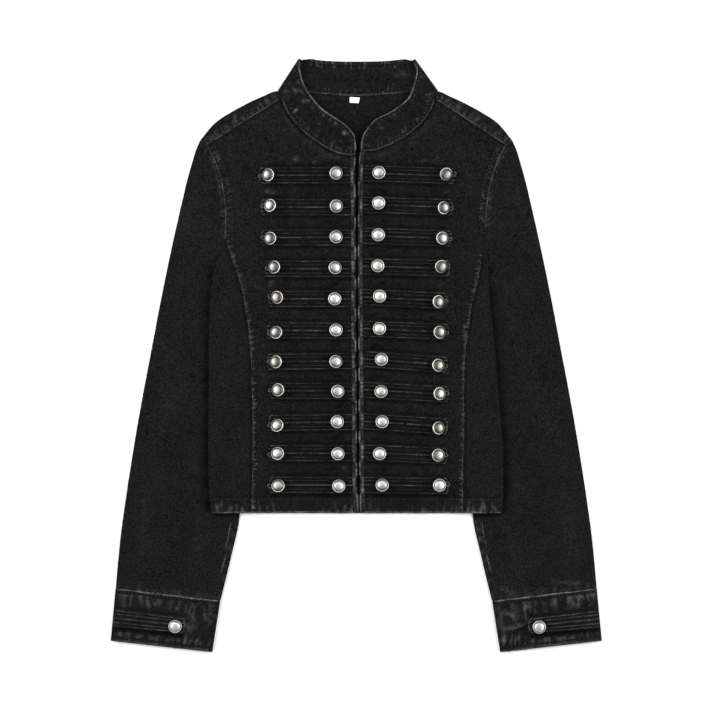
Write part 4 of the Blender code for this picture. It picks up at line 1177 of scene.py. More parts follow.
class Bits:
    """Points, faces and wear of many small shapes that become one mesh; the wear also carries painted shade
    in the rib grooves.
    """

    def __init__(self):
        self.points, self.faces, self.wear = [], [], []

    def rings(self, rings, worn):
        """Joins rings of points into a closed bar with an end at each side."""
        first = len(self.points)
        size = len(rings[0])
        for ring, values in zip(rings, worn):
            self.points += [tuple(p) for p in ring]
            self.wear += list(values)
        for k in range(len(rings) - 1):
            for i in range(size):
                a, b = first + k * size + i, first + k * size + (i + 1) % size
                self.faces.append((a, b, b + size, a + size))
        last = first + (len(rings) - 1) * size
        self.faces.append(tuple(range(first + size - 1, first - 1, -1)))
        self.faces.append(tuple(range(last, last + size)))

    def unworn(self, rings):
        """The same for a bar without any wear."""
        self.rings(rings, [[0.0] * len(rings[0])] * len(rings))

    def build(self, name, look, sharp=50):
        obj = new_object(remake(name), self.points, self.faces, finish(look), self.wear)
        bm = bmesh.new()
        bm.from_mesh(obj.data)
        bmesh.ops.recalc_face_normals(bm, faces=bm.faces)
        bm.to_mesh(obj.data)
        bm.free()
        obj.data.set_sharp_from_angle(angle=math.radians(sharp))
        return obj


def walk(line, step, start=0.0, end=None):
    """Places and left-hand directions at even steps along a line in plan."""
    length = line_length(line)
    end = length[-1] if end is None else min(end, length[-1])
    places = np.linspace(start, end, max(2, int(round((end - start) / step)) + 1))
    xy = np.stack([np.interp(places, length, line[:, i]) for i in (0, 1)], axis=1)
    run = np.gradient(xy, axis=0)
    run /= np.maximum(np.linalg.norm(run, axis=1, keepdims=True), 1e-9)
    return places, xy, np.stack([-run[:, 1], run[:, 0]], axis=1)


# A row of stitches: its line, the distance to its left, the pieces that it is sewn on,
# and where along the line it starts and ends.
StitchRow = namedtuple("StitchRow", "line offset onto start end", defaults=(0.0, None))


# Along a stitch: its width at each place, and how deep the thread is sunk there.
STITCH_ENDS = ((0.45, 0.22), (1.0, 0.0), (0.45, 0.22))


def sew(bits, row, draw):
    looks = bpy.context.scene.jacket_looks
    length, gap = looks.stitch_length / MM, looks.stitch_gap / MM
    line = beside(row.line, row.offset)
    total = line_length(line)[-1]
    end = total if row.end is None else min(row.end, total)
    place = row.start + gap
    width, height = looks.thread / MM / 2, looks.thread / MM * 0.42
    arc = line_length(line)
    while place + length < end:
        spots = []
        for share in (0.0, 0.5, 1.0):
            s = place + length * share
            x, y = np.interp(s, arc, line[:, 0]), np.interp(s, arc, line[:, 1])
            z = surface_at(row.onto, float(x), float(y))
            spots.append(None if z is None else Vector((x, y, z)))
        place += length + gap * draw.uniform(0.85, 1.2)
        if None in spots:
            continue
        run = (spots[2] - spots[0]).normalized()
        left = Vector((-run.y, run.x, 0.0)).normalized()
        rings = []
        for spot, (size, sink) in zip(spots, STITCH_ENDS):
            rings.append([spot + left * width * size + Vector((0, 0, -sink)),
                          spot + Vector((0, 0, height * size - sink)),
                          spot - left * width * size + Vector((0, 0, -sink)),
                          spot + Vector((0, 0, -height - sink))])
        bits.unworn(rings)


# A rolled edge or seam ridge: its line, the distance to its left, its width and height,
# how worn it is, the pieces it lies on, where it starts and ends, and its own draw.
Roll = namedtuple("Roll", "line offset width height worn onto seed start end", defaults=(0.0, None))
ROLL_ANGLES = (0, 35, 70, 110, 145, 180)
ROLL_STEP, ROLL_TAPER = 2.0, 7.0


def add_roll(bits, roll, swing=None):
    """swing(y) gives how far the ridge is pushed to its left, its half width and how
    worn it is there."""
    draw = random.Random(roll.seed)
    line = beside(roll.line, roll.offset)
    places, xy, left = walk(line, ROLL_STEP, roll.start, roll.end)
    rings, worn = [], []
    wide, bright, drift = draw.uniform(0.8, 1.2), draw.uniform(0.6, 1.0), 0.0
    for k, ((x, y), (nx, ny)) in enumerate(zip(xy, left)):
        wide = mix(wide, draw.uniform(0.7, 1.3), 0.45)
        bright = mix(bright, draw.uniform(0.35, 1.15), 0.4)
        drift = mix(drift, draw.uniform(-0.8, 0.8), 0.25)
        push, half, level = swing(y) if swing else (drift, roll.width / 2, 1.0)
        x, y = x + nx * push, y + ny * push
        z = surface_at(roll.onto, float(x), float(y))
        if z is None:
            continue
        to_end = min(places[k] - places[0], places[-1] - places[k])
        taper = 0.3 + 0.7 * float(ease(0.0, ROLL_TAPER, to_end))
        shine = roll.worn * mix(bright, draw.uniform(0.2, 1.3), 0.5) * level
        ring, values = [], []
        for angle in ROLL_ANGLES:
            across = math.cos(math.radians(angle)) * half * wide * taper
            up = math.sin(math.radians(angle)) * roll.height * taper
            ring.append((x + nx * across, y + ny * across, z - 0.2 + up))
            values.append(shine * (0.3 + 0.7 * math.sin(math.radians(angle))))
        ring.append((x, y, z - 0.6))
        values.append(0.0)
        rings.append(ring)
        worn.append(values)
    if len(rings) > 1:
        bits.rings(rings, worn)


# Short ridges across the edge of a seam: its line, where they start and end to its left,
# their usual spacing, height and wear, the pieces they lie on and their own draw.
Ladder = namedtuple("Ladder", "line near far pitch height worn onto seed")
LADDER_ENDS = ((0.0, 0.4), (0.3, 1.0), (0.7, 0.9), (1.0, 0.3))
LADDER_SHAPE = ((-1.0, 0.0), (-0.5, 0.75), (0.0, 1.0), (0.5, 0.75), (1.0, 0.0))


def add_ladder(bits, ladder):
    draw = random.Random(ladder.seed)
    _, xy, left = walk(ladder.line, ladder.pitch)
    for (x, y), (nx, ny) in zip(xy, left):
        shift, slant = draw.uniform(-0.35, 0.35) * ladder.pitch, draw.uniform(-0.25, 0.25)
        length, half = draw.uniform(0.5, 1.0), draw.uniform(0.5, 0.9)
        shine = ladder.worn * draw.uniform(0.3, 1.2)
        rings, worn = [], []
        for share, size in LADDER_ENDS:
            out = mix(ladder.near, ladder.far, share * length)
            px, py = x + nx * out + ny * (shift + slant * out), y + ny * out - nx * (shift + slant * out)
            z = surface_at(ladder.onto, float(px), float(py))
            if z is None:
                break
            ring = [(px + ny * across * half * size, py - nx * across * half * size,
                     z - 0.15 + up * size * ladder.height) for across, up in LADDER_SHAPE]
            rings.append(ring + [(px, py, z - 0.6)])
            worn.append([shine * up for _, up in LADDER_SHAPE] + [0.0])
        if len(rings) == len(LADDER_ENDS):
            bits.rings(rings, worn)


# -------------------- ribbed bands

# A rib of a band: its place across it, half its width, its height and how worn it is.
Rib = namedtuple("Rib", "place half crest worn")
BAND_RIBS = table(Rib, [
    (-8.6, 1.2, 1.95, 0.22), (-4.95, 1.4, 2.0, 0.13), (0.0, 1.7, 2.4, 0.34), (4.95, 1.4, 2.0, 0.14),
    (8.6, 1.2, 1.95, 0.28),
])
TAB_RIBS = [rib._replace(worn=worn) for rib, worn in zip(BAND_RIBS, (0.34, 0.26, 0.3, 0.24, 0.26))]
RIB_SHAPE = [(-1.0, 0.0), (-0.55, 0.6), (0.0, 1.0), (0.55, 0.6), (1.0, 0.0)]


def ribbed_bar(bits, start, end, start_height, end_height, base_at, seed, ribs=BAND_RIBS,
               groove_shade=0.28):
    """A ribbed strip of cloth from start to its tip, lying on base_at(x, y). Its rib tops are worn lighter,
    the groove value paints shade into the hollows between the ribs, and the strip's low edges are painted
    darker as shade.
    """
    draw = random.Random(seed)
    run = (end - start).normalized()
    square = Vector((-run.y, run.x))
    length = (end - start).length
    shares = spread(0.0, 0.88, max(3, int(length / 3.4))) + [0.92, 0.955, 0.98, 1.0]
    level = [draw.uniform(0.4, 1.0) for _ in ribs]
    rings, worn = [], []
    for share in shares:
        scale = mix(start_height, end_height, share) / BAND_HEIGHT
        level = [mix(v, draw.uniform(-0.1, 1.5), 0.4) for v in level]
        # The strip's low edges carry painted shade.
        across = [(-BAND_HEIGHT / 2, 0.0, -0.4), (-BAND_HEIGHT / 2, 0.9, -0.1)]
        for rib, shine in zip(ribs, level):
            crest = rib.crest * (0.94 + 0.06 * shine)
            wander = 0.22 * (shine - 0.6)
            for offset, up in RIB_SHAPE:
                across.append((rib.place + offset * rib.half + wander, mix(RIB_GROOVE, crest, up),
                               rib.worn * shine * up ** 2 - groove_shade * (1.0 - up)))
        across += [(BAND_HEIGHT / 2, 0.9, -0.1), (BAND_HEIGHT / 2, 0.0, -0.4)]
        ring, values = [], []
        for place, up, wear in across:
            pull = TIP_CHAMFER * (abs(place) / (BAND_HEIGHT / 2)) ** 3 * ease(0.8, 1.0, share)
            drop = 0.45 * ease(0.96, 1.0, share) * up
            plan = start + run * (share * length - pull) + square * place * scale
            ring.append((plan.x, plan.y, base_at(plan.x, plan.y) + up - drop))
            values.append(wear + 0.25 * float(ease(0.965, 1.0, share)))
        rings.append(ring)
        worn.append(values)
    bits.rings(rings, worn)


def on_front_top(x, y):
    return under_front(x, y) + DENIM + SEWN_ON


# Across the strip along the front edge: how far out, and how high.
STRIP_PROFILE = ((0.0, 0.0), (0.0, 0.9), (0.5, 1.25), (EDGE_STRIP - 0.5, 1.25), (EDGE_STRIP, 0.9),
                 (EDGE_STRIP, 0.0))


def make_bands(side):
    sign = SIGN[side]
    bits = Bits()
    for k, band in enumerate(BANDS):
        line = band_line(band, side)
        start, end = Vector(line[0]), Vector(line[-1])
        ribbed_bar(bits, start, end, BAND_HEIGHT, BAND_HEIGHT, on_front_top, seed=(k + 1) * 7 + sign)
    draw = random.Random(40 + sign)
    rings, worn = [], []
    _, xy, _ = walk(edge_strip_line(side), 2.5)
    for x, y in xy:
        ring = []
        for across, up in STRIP_PROFILE:
            px = x + sign * across
            ring.append((px, y, on_front_top(px, y) + up))
        rings.append(ring)
        worn.append([0.16 * draw.random()] * len(ring))
    bits.rings(rings, worn)
    return bits.build("bands_and_strip_" + side, "ribbed")


def edge_strip_line(side):
    """The inner edge of the folded strip along a front edge, from the hem up."""
    heights = spread(HEM_Y + 1.0, COLLAR_FRONT[side][0].seam_y - 1.2, 60)
    return np.array([(SIGN[side] * (table_at(FRONT_EDGE, side, y) - 0.2), y) for y in heights])


def between_bands(side):
    """Small slanting creases in the cloth between the bands, their tops worn lighter and their troughs
    darkened with painted shade.
    """
    sign = SIGN[side]
    draw = random.Random(17 + sign)
    creases = []
    ends = [(getattr(b, side + "_front_y") + getattr(b, side + "_end_y")) / 2 for b in BANDS]
    ends = [ends[0] + 30.0] + ends + [ends[-1] - 26.0]
    for high, low in zip(ends, ends[1:]):
        middle = (high + low) / 2
        for _ in range(5):
            x, rise = sign * draw.uniform(12.0, 30.0), draw.uniform(-5.0, 5.0)
            creases.append(Crease(x, middle + rise, x + sign * draw.uniform(5.0, 14.0), middle - 0.6 * rise,
                                  draw.uniform(1.1, 1.8), -0.5, draw.uniform(-0.35, -0.12)))
        for _ in range(26):
            x, y = sign * draw.uniform(9.0, 108.0), middle + draw.uniform(-5.0, 5.0)
            angle, half = math.radians(draw.uniform(15.0, 165.0)), draw.uniform(1.8, 6.0)
            dx, dy = math.cos(angle) * half, math.sin(angle) * half * 0.8
            rise = draw.uniform(-0.9, 0.65)
            creases.append(Crease(x - dx, y - dy, x + dx, y + dy, draw.uniform(1.2, 2.8),
                                  0.6 * rise, 0.22 * rise))
    return creases


# -------------------- operators

def colour_setting(name, description, level):
    return bpy.props.FloatVectorProperty(name=name, description=description, subtype="COLOR",
                                         default=(level,) * 3, min=0.0, max=1.0)


def length_setting(name, description, metres):
    return bpy.props.FloatProperty(name=name, description=description, default=metres, unit="LENGTH")


class JacketLooks(bpy.types.PropertyGroup):
    denim_dark: colour_setting("Dark denim", "Unworn colour of the cloth", 0.0011)
    denim_light: colour_setting("Faded denim", "Faded colour of the cloth", 0.0150)
    denim_worn: colour_setting("Worn denim", "Colour of rubbed edges and creases", 0.135)
    # Wash also scales the painted shade and painted shadows of the soft lines.
    wash: bpy.props.FloatProperty(
        name="Wash", description="Strength of the rubbed marks along seams", default=1.0,
        min=0.0, max=2.0)
    stitch_length: length_setting("Stitch", "Length of a stitch", 0.0031)
    stitch_gap: length_setting("Stitch gap", "Gap between stitches", 0.0014)
    thread: length_setting("Thread", "Thickness of the sewing thread", 0.0008)
    button_radius: length_setting("Button radius", "Half the width of a button", 0.0076)
    floor: colour_setting("Floor", "Colour of the surface", 0.92)


BODY_PUCKERS = table(Pucker, [
    ("hem", 20.0, 7.0, 0.5, 0.36, 0.15, 11), ("princess", 7.5, 7.5, 0.4, 0.55, 0.0, 21, (0.17, 0.3)),
    ("armhole", -14.0, 7.0, 0.35, 0.24, 0.0, 31), ("neck", -7.0, 9.0, 0.35, 0.15, 0.0, 41),
    ("shoulder", 13.0, 8.0, 0.4, 0.1, 0.0, 51),
])
BACK_PUCKERS = table(Pucker, [("shoulder", -16.0, 6.5, 0.4, 0.3, 0.0, 61)])
NECK_OPENING = 45.0        # half the width of what shows of the back inside the collar
COLLAR_PUCKERS = table(Pucker, [
    ("neck", 16.0, 6.0, 0.45, 0.38, 0.0, 71, (0.2, 0.4)),
    ("collar_top", -13.0, 6.5, 0.4, 0.26, 0.05, 81, (0.2, 0.4)),
])
SLEEVE_PUCKERS = table(Pucker, [
    ("cuff_seam", -11.0, 9.0, 0.4, 0.15, 0.0, 101), ("inner_sleeve", 9.0, 12.0, 0.4, 0.25, 0.05, 111),
    ("armhole", 7.0, 9.0, 0.3, 0.2, 0.0, 121),
])
CUFF_PUCKERS = table(Pucker, [
    ("cuff_seam", 34.0, 8.5, 0.45, 0.24, 0.0, 131), ("cuff_end", -28.0, 7.5, 0.4, 0.3, 0.0, 141),
])
# Most of these are painted shade in the grooves beside the seams and above the hem stitching; the wide line
# under the bands and the faint one below the shoulder only darken the cloth, and the one beside the neck is
# a rubbed patch.
BODY_SHADES = table(Shade, [
    ("princess", -1.7, 1.2, -0.35, -0.55, 311), ("princess", 3.4, 0.9, -0.2, -0.15, 313),
    ("armhole", -3.4, 1.3, -0.25, -0.3, 315), ("armhole", -10.4, 1.2, -0.15, -0.22, 317),
    ("hem", 19.2, 1.4, -0.3, -0.35, 319), ("shoulder", 1.2, 1.2, -0.3, -0.45, 321),
    ("shoulder", 8.0, 6.0, 0.2, -0.03, 323), ("neck", -1.4, 1.2, -0.3, -0.5, 325),
    ("neck", -6.0, 3.5, 0.1, 0.03, 327), ("under_bands", 0.0, 46.0, 0.0, -0.13, 329),
])
# Painted shade in the grooves beside the neck seam and the top edge, and a wide line that only darkens the
# collar's cloth.
COLLAR_SHADES = table(Shade, [
    ("neck", 3.6, 1.2, -0.25, -0.45, 95), ("neck", 15.0, 12.0, 0.0, -0.2, 101),
    ("collar_top", -3.0, 1.1, -0.25, -0.5, 98),
])
# Painted shadows on the sleeve: that of the body's side edge, and that under the side hem.
SLEEVE_SHADES = table(Shade, [
    ("side_edge", -3.0, 5.5, 0.0, -0.5, 128), ("sleeve_at_hem", 1.0, 2.4, 0.0, -1.2, 129),
])
# Painted shade in the grooves beside the cuff seam, the cuff's end and along the tab's upper edge, and a
# strong painted shadow along its lower edge.
CUFF_SHADES = table(Shade, [
    ("cuff_seam", 3.4, 1.2, -0.3, -0.55, 145), ("cuff_end", -4.6, 1.2, -0.2, -0.35, 148),
    ("tab", 12.0, 2.2, -0.4, -1.0, 151), ("tab", -11.6, 1.3, -0.2, -0.4, 154),
])


def band_line(band, side):
    """The middle line of a band, from the front edge to its tip."""
    sign = SIGN[side]
    front_y, end_y = getattr(band, side + "_front_y"), getattr(band, side + "_end_y")
    front = table_at(FRONT_EDGE, side, front_y) + 2.6
    return smooth_line([(sign * front, front_y), (sign * getattr(band, side + "_tip"), end_y)])


def body_shades(side):
    """The soft lines of one side of the body, with a groove of painted shade above and below each band."""
    shades = on_side(BODY_SHADES, side)
    for k, band in enumerate(BANDS):
        for place in (-1.0, 1.0):
            shades.append(Shade(band_line(band, side), place * (BAND_HEIGHT / 2 + 1.3), 1.5, -0.3,
                                -0.5, 331 + 2 * k + SIGN[side]))
    return shades


class JACKET_OT_back(bpy.types.Operator):
    """Adds the back, carried over the shoulders to its seams on the front"""
    bl_idname = "jacket.back"
    bl_label = "Back"

    def execute(self, context):
        rows, steps, keep = back_rows()
        puckers = on_side(BACK_PUCKERS, LEFT) + on_side(BACK_PUCKERS, RIGHT)
        middle = (COLLAR_FRONT[LEFT][0].seam_y + COLLAR_BACK[len(COLLAR_BACK) // 2].seam_y) / 2
        opening = smooth_line([(-NECK_OPENING, middle), (NECK_OPENING, middle)])
        # Painted shade on the back where it shows inside the collar.
        shades = [Shade(opening, 0.0, 34.0, 0.0, -0.24, 65)]
        obj = cloth_shell("back_cloth", rows, steps, DENIM, dressed(puckers, (), shades), keep=keep)
        finished(obj, "denim", "back")
        return {"FINISHED"}


class JACKET_OT_fronts(bpy.types.Operator):
    """Adds the two centre fronts with their puckered seams and creased cloth between the bands"""
    bl_idname = "jacket.fronts"
    bl_label = "Centre fronts"

    def execute(self, context):
        for side in SIGN:
            dress = dressed(on_side(BODY_PUCKERS, side), between_bands(side), body_shades(side))
            obj = cloth_shell("front_cloth_" + side, front_rows(side), FRONT_STEP, DENIM, dress)
            finished(obj, "denim", "front_" + side)
        return {"FINISHED"}


class JACKET_OT_side_fronts(bpy.types.Operator):
    """Adds the side fronts, from the princess seams to the side seams"""
    bl_idname = "jacket.side_fronts"
    bl_label = "Side fronts"

    def execute(self, context):
        for side in SIGN:
            dress = dressed(on_side(BODY_PUCKERS, side), (), body_shades(side))
            obj = cloth_shell("side_front_cloth_" + side, side_front_rows(side), SIDE_FRONT_STEP,
                              DENIM, dress)
            finished(obj, "denim", "side_front_" + side)
        return {"FINISHED"}


COLLAR_PATCH, CUFF_PATCH = 3.2, 5.0      # the usual size of a worn patch
BACK_SEAM_OUT, BACK_TOP_OUT = 47.0, 66.0  # where the marks across the back end

# Where the collar is patchily worn: four corners, how many patches and how strong.
COLLAR_PATCHES = [
    (((-86.0, 298.0), (-69.0, 334.0), (-80.0, 285.0), (-56.0, 306.0)), 30, 0.18),
    (((-80.0, 285.0), (-56.0, 304.0), (-45.0, 246.0), (-27.0, 273.0)), 64, 0.22),
    (((-45.0, 246.0), (-27.0, 273.0), (-5.0, 233.0), (-5.0, 256.0)), 50, 0.26),
    (((90.0, 301.0), (68.0, 313.0), (56.0, 257.0), (40.0, 279.0)), 64, 0.19),
    (((56.0, 257.0), (40.0, 279.0), (8.0, 237.0), (10.0, 262.0)), 50, 0.21),
    (((-52.0, 311.0), (-60.0, 340.0), (52.0, 311.0), (60.0, 340.0)), 70, 0.09),
]


class JACKET_OT_collar(bpy.types.Operator):
    """Adds the band collar with rubbed puckers along both of its long edges"""
    bl_idname = "jacket.collar"
    bl_label = "Collar"

    def execute(self, context):
        wash = context.scene.jacket_looks.wash
        seam, top = back_collar_lines()
        seam, top = near_middle(seam, BACK_SEAM_OUT), near_middle(top, BACK_TOP_OUT)
        puckers = []
        # Painted shade in the grooves beside the back's seam and top edge, and a wide line that only
        # darkens the cloth.
        shades = table(Shade, [(seam, 3.6, 1.2, -0.2, -0.4, 93), (top, -4.4, 1.0, -0.15, -0.3, 94),
                               (seam, 16.0, 12.0, 0.0, -0.12, 104)])
        for side in SIGN:
            puckers += on_side(COLLAR_PUCKERS, side)
            shades += on_side(COLLAR_SHADES, side)
        puckers += table(Pucker, [(seam, 11.0, 5.5, 0.4, 0.5 * wash, 0.1, 91, (0.2, 0.34)),
                                  (top, -11.0, 5.0, 0.4, 0.44 * wash, 0.0, 92, (0.2, 0.32))])
        patches = []
        for number, (area, count, strength) in enumerate(COLLAR_PATCHES):
            patches += blots(area, count, COLLAR_PATCH, strength * wash, 105 + number)
        obj = cloth_shell("collar_cloth", collar_columns(), COLLAR_STEP, COLLAR_WALL,
                          dressed(puckers, patches, shades))
        finished(obj, "denim", "collar")
        return {"FINISHED"}


SLEEVE_CREASES = table(Crease, [
    (176.0, 205.0, 214.0, 120.0, 7.0, 0.9, 0.01), (190.0, 95.0, 176.0, 20.0, 6.0, 0.8, 0.01),
    (226.0, 90.0, 214.0, 10.0, 8.0, -0.6, 0.0), (200.0, -20.0, 236.0, -110.0, 7.0, 0.8, 0.01),
    (188.0, -120.0, 214.0, -205.0, 8.0, -0.6, 0.0), (240.0, -150.0, 252.0, -255.0, 8.0, 0.8, 0.012),
    (176.0, -205.0, 196.0, -268.0, 6.0, 0.7, 0.012), (214.0, -222.0, 222.0, -266.0, 5.0, -0.5, 0.0),
])


# Short folds just above and on one cuff; the trough on the cuff is darkened with painted shade.
SLEEVE_TUCKS = {LEFT: [], RIGHT: table(Crease, [
    (228.0, -262.5, 262.0, -265.5, 1.8, 0.5, 0.16), (166.0, -269.0, 188.0, -280.0, 2.2, 0.5, 0.14),
])}
CUFF_TUCKS = {LEFT: [], RIGHT: table(Crease, [
    (171.0, -320.0, 198.0, -311.0, 3.2, 0.6, 0.16), (180.0, -322.5, 200.0, -315.5, 2.0, -0.6, -0.4),
])}


class JACKET_OT_sleeves(bpy.types.Operator):
    """Adds the sleeves, lying flat with their soft lengthwise folds"""
    bl_idname = "jacket.sleeves"
    bl_label = "Sleeves"

    def execute(self, context):
        for side, sign in SIGN.items():
            creases = [crease._replace(from_x=sign * crease.from_x, to_x=sign * crease.to_x)
                       for crease in SLEEVE_CREASES]
            rings, keep = sleeve_rings(side)
            dress = sleeve_dress(side, creases + SLEEVE_TUCKS[side])
            obj = cloth_shell("sleeve_cloth_" + side, rings, SLEEVE_STEP, DENIM, dress, True, keep)
            finished(obj, "denim", "sleeve_" + side)
        return {"FINISHED"}


def sleeve_dress(side, creases):
    """Creases only where the sleeve lies free, and none where the body presses on it, with the painted
    shadows of the body's side edge and hem added.
    """
    plain = dressed(on_side(SLEEVE_PUCKERS, side), creases)
    shades = on_side(SLEEVE_SHADES, side)
    pit = armpit(side).y
    column = np.linspace(-290.0, 260.0, 111)
    cover = np.array([table_at(SIDE_EDGE, side, min(y, pit)) - OPEN_PAST_ARMPIT * max(y - pit, 0.0)
                      for y in column])

    def dress(x, y):
        lift, worn = plain(x, y)
        # The painted shadows that the body casts on the sleeve.
        dark = shaded(x, y, shades)[1]
        beside_body = ease(3.0, 22.0, np.abs(x) - np.interp(y, column, cover))
        free = np.maximum(beside_body, ease(0.0, 14.0, HEM_Y - 1.0 - y))
        return lift * free, worn * np.clip(free * 1.5, 0.0, 1.0) + dark
    return dress


class JACKET_OT_cuffs(bpy.types.Operator):
    """Adds the cuffs, rubbed along their seam and lower edge"""
    bl_idname = "jacket.cuffs"
    bl_label = "Cuffs"

    def execute(self, context):
        wash = context.scene.jacket_looks.wash
        for side, sign in SIGN.items():
            lines = side_lines(side)
            ends = [lines[name][place] for name in ("cuff_seam", "cuff_end") for place in (0, -1)]
            patches = blots(ends, 130, CUFF_PATCH, 0.13 * wash, 157 + sign) + CUFF_TUCKS[side]
            dress = dressed(on_side(CUFF_PUCKERS, side), patches, on_side(CUFF_SHADES, side))
            obj = cloth_shell("cuff_cloth_" + side, cuff_rings(side), CUFF_STEP, CUFF_WALL, dress, True)
            finished(obj, "denim", "cuff_" + side)
        return {"FINISHED"}


class JACKET_OT_bands(bpy.types.Operator):
    """Adds the eleven ribbed bands a side and the strip that joins them"""
    bl_idname = "jacket.bands"
    bl_label = "Ribbed bands"

    def execute(self, context):
        for side in SIGN:
            obj = make_bands(side)
            finished(obj, "ribbed_denim", "bands_" + side)
        return {"FINISHED"}


class JACKET_OT_cuff_tabs(bpy.types.Operator):
    """Adds the ribbed tabs on the cuffs"""
    bl_idname = "jacket.cuff_tabs"
    bl_label = "Cuff tabs"

    def execute(self, context):
        top = 2 * CUFF_WALL + CUFF_INSIDE + SEWN_ON
        for side, sign in SIGN.items():
            tab = CUFF_TAB[side]
            bits = Bits()
            start, end = on(side, tab.start_out, tab.start_y), on(side, tab.end_out, tab.end_y)
            ribbed_bar(bits, start, end, tab.start_height, tab.end_height, lambda x, y: top,
                       160 + sign, TAB_RIBS, groove_shade=0.05)
            obj = bits.build("cuff_tab_cloth_" + side, "ribbed")
            finished(obj, "ribbed_denim", "cuff_tab_" + side)
        return {"FINISHED"}


# The button's front, from its rim inwards: how far each ring is inset and how much it
# then rises, in millimetres, and how dark its patina is, darkest in the groove round the
# dome, where it also stands for painted shade.
Ring = namedtuple("Ring", "inset rise tarnish")
BUTTON_RINGS = table(Ring, [
    (0.25, 0.26, 0.45), (0.40, 0.12, 0.3), (0.35, -0.10, 0.4), (0.20, -0.38, 0.95), (0.20, -0.02, 1.0),
    (0.20, 0.62, 0.5), (0.45, 0.72, 0.22), (0.80, 0.62, 0.1), (1.10, 0.42, 0.03), (1.30, 0.23, 0.0),
    (1.30, 0.09, 0.0),
])
SHANK_SHARE = 0.42         # of the button's radius
SHANK_HEIGHT = 2.2
UNDERSIDE_SHARE = 0.88
DOME_RADIUS = 6.2
# From the shank out to the rim: how much each ring grows and rises.
BUTTON_BASE = ((UNDERSIDE_SHARE / SHANK_SHARE, 0.15), (1.0 / UNDERSIDE_SHARE, 0.55), (1.0, 0.75))


def resize_all(value):
    """Resizes the whole mesh of the active object."""
    bpy.ops.object.mode_set(mode="EDIT")
    bpy.ops.mesh.select_all(action="SELECT")
    bpy.ops.transform.resize(value=value)
    bpy.ops.object.mode_set(mode="OBJECT")


def model_button(radius):
    """One domed button with a raised rim, standing on its shank at the origin."""
    bpy.ops.object.select_all(action="DESELECT")
    bpy.ops.mesh.primitive_cylinder_add(vertices=48, radius=radius * SHANK_SHARE,
                                        depth=SHANK_HEIGHT * MM,
                                        location=(0.0, 0.0, SHANK_HEIGHT / 2 * MM))
    obj = bpy.context.active_object
    bpy.ops.object.transform_apply(location=True, rotation=True, scale=True)
    bpy.ops.object.mode_set(mode="EDIT")
    bm = bmesh.from_edit_mesh(obj.data)
    for face in bm.faces:
        face.select_set(face.normal.z > 0.9)
    bmesh.update_edit_mesh(obj.data)
    bpy.ops.mesh.select_mode(type="FACE")
    for grow, rise in BUTTON_BASE:
        bpy.ops.mesh.extrude_region_move(TRANSFORM_OT_translate={"value": (0.0, 0.0, rise * MM)})
        bpy.ops.transform.resize(value=(grow, grow, 1.0))
    for ring in BUTTON_RINGS:
        bpy.ops.mesh.inset(thickness=ring.inset * MM)
        bpy.ops.transform.translate(value=(0.0, 0.0, ring.rise * MM))
    bpy.ops.mesh.poke()
    bpy.ops.mesh.select_all(action="SELECT")
    bpy.ops.mesh.normals_make_consistent(inside=False)
    bpy.ops.object.mode_set(mode="OBJECT")
    bpy.ops.object.shade_smooth_by_angle(angle=math.radians(60))
    return obj


def add_patina_and_shade(mesh, radius, dark_side, depth, draw):
    """Patina, dark in the groove, and painted shade on one side of the dome and the other side
    of the rim, as if the dome mirrored a dim sky there; dark_side is an angle and depth how
    dull the button is."""
    outs = np.cumsum([ring.inset for ring in BUTTON_RINGS])
    levels = [ring.tarnish for ring in BUTTON_RINGS]
    depth = depth * draw.uniform(0.75, 1.1)
    layer = mesh.attributes.new(name="tarnish", type="FLOAT", domain="POINT")
    for vert, value in zip(mesh.vertices, layer.data):
        out = math.hypot(vert.co.x, vert.co.y) / MM
        level = float(np.interp(radius / MM - out, outs, levels)) if vert.co.z > 3.0 * MM else 0.6
        side = math.cos(math.atan2(vert.co.y, vert.co.x) - dark_side) * out / DOME_RADIUS
        on_dome = float(ease(DOME_RADIUS + 0.4, DOME_RADIUS - 0.6, out))
        value.value = level + depth * mix(0.45 - 0.4 * side, 0.9 + 0.5 * side, on_dome)


def cad_button_places():
    """For each button node: its name, where its shank stands and its axis."""
    places = []
    for name, node in frame["nodes"].items():
        if not name.startswith("button_"):
            continue
        spots = np.array(sorted({tuple(round(c, 6) for c in vert.co) for vert in node.data.vertices}))
        middle = spots.mean(axis=0)
        flattest = np.linalg.eigh(np.cov((spots - middle).T))[1][:, 0]
        axis = flattest * math.copysign(1.0, flattest[2])
        foot = middle + axis * ((spots - middle) @ axis).min()
        places.append((name, Vector(foot), Vector(axis)))
    return places


class JACKET_OT_buttons(bpy.types.Operator):
    """Adds the domed silver buttons of the bands and cuffs"""
    bl_idname = "jacket.buttons"
    bl_label = "Buttons"

    def execute(self, context):
        radius = context.scene.jacket_looks.button_radius
        pattern = model_button(radius)
        pattern.data.materials.append(finish("silver"))
        draw = random.Random(5)
        for name, foot, axis in cad_button_places():
            mesh = pattern.data.copy()
            # The side away from the button's lean gets painted shade, and a leaning button is darkened
            # more.
            dark_side = math.atan2(-axis.y, -axis.x) + draw.uniform(-0.3, 0.3)
            leaning = float(ease(0.05, 0.32, math.hypot(axis.x, axis.y)))
            add_patina_and_shade(mesh, radius, dark_side, mix(0.3, 0.9, leaning), draw)
            turn = Vector((0.0, 0.0, 1.0)).rotation_difference(axis).to_matrix().to_4x4()
            mesh.transform(Matrix.Translation(foot) @ turn)
            obj = bpy.data.objects.new(remake("domed_" + name), mesh)
            context.scene.collection.objects.link(obj)
            finished(obj, "button_metal", name)
        bpy.data.objects.remove(pattern, do_unlink=True)
        return {"FINISHED"}


KEYHOLE_RADIUS, KEYHOLE_THREAD = 1.9, 0.55
KEYHOLE_OUT = (8.6, 10.2)  # from the middle of the button


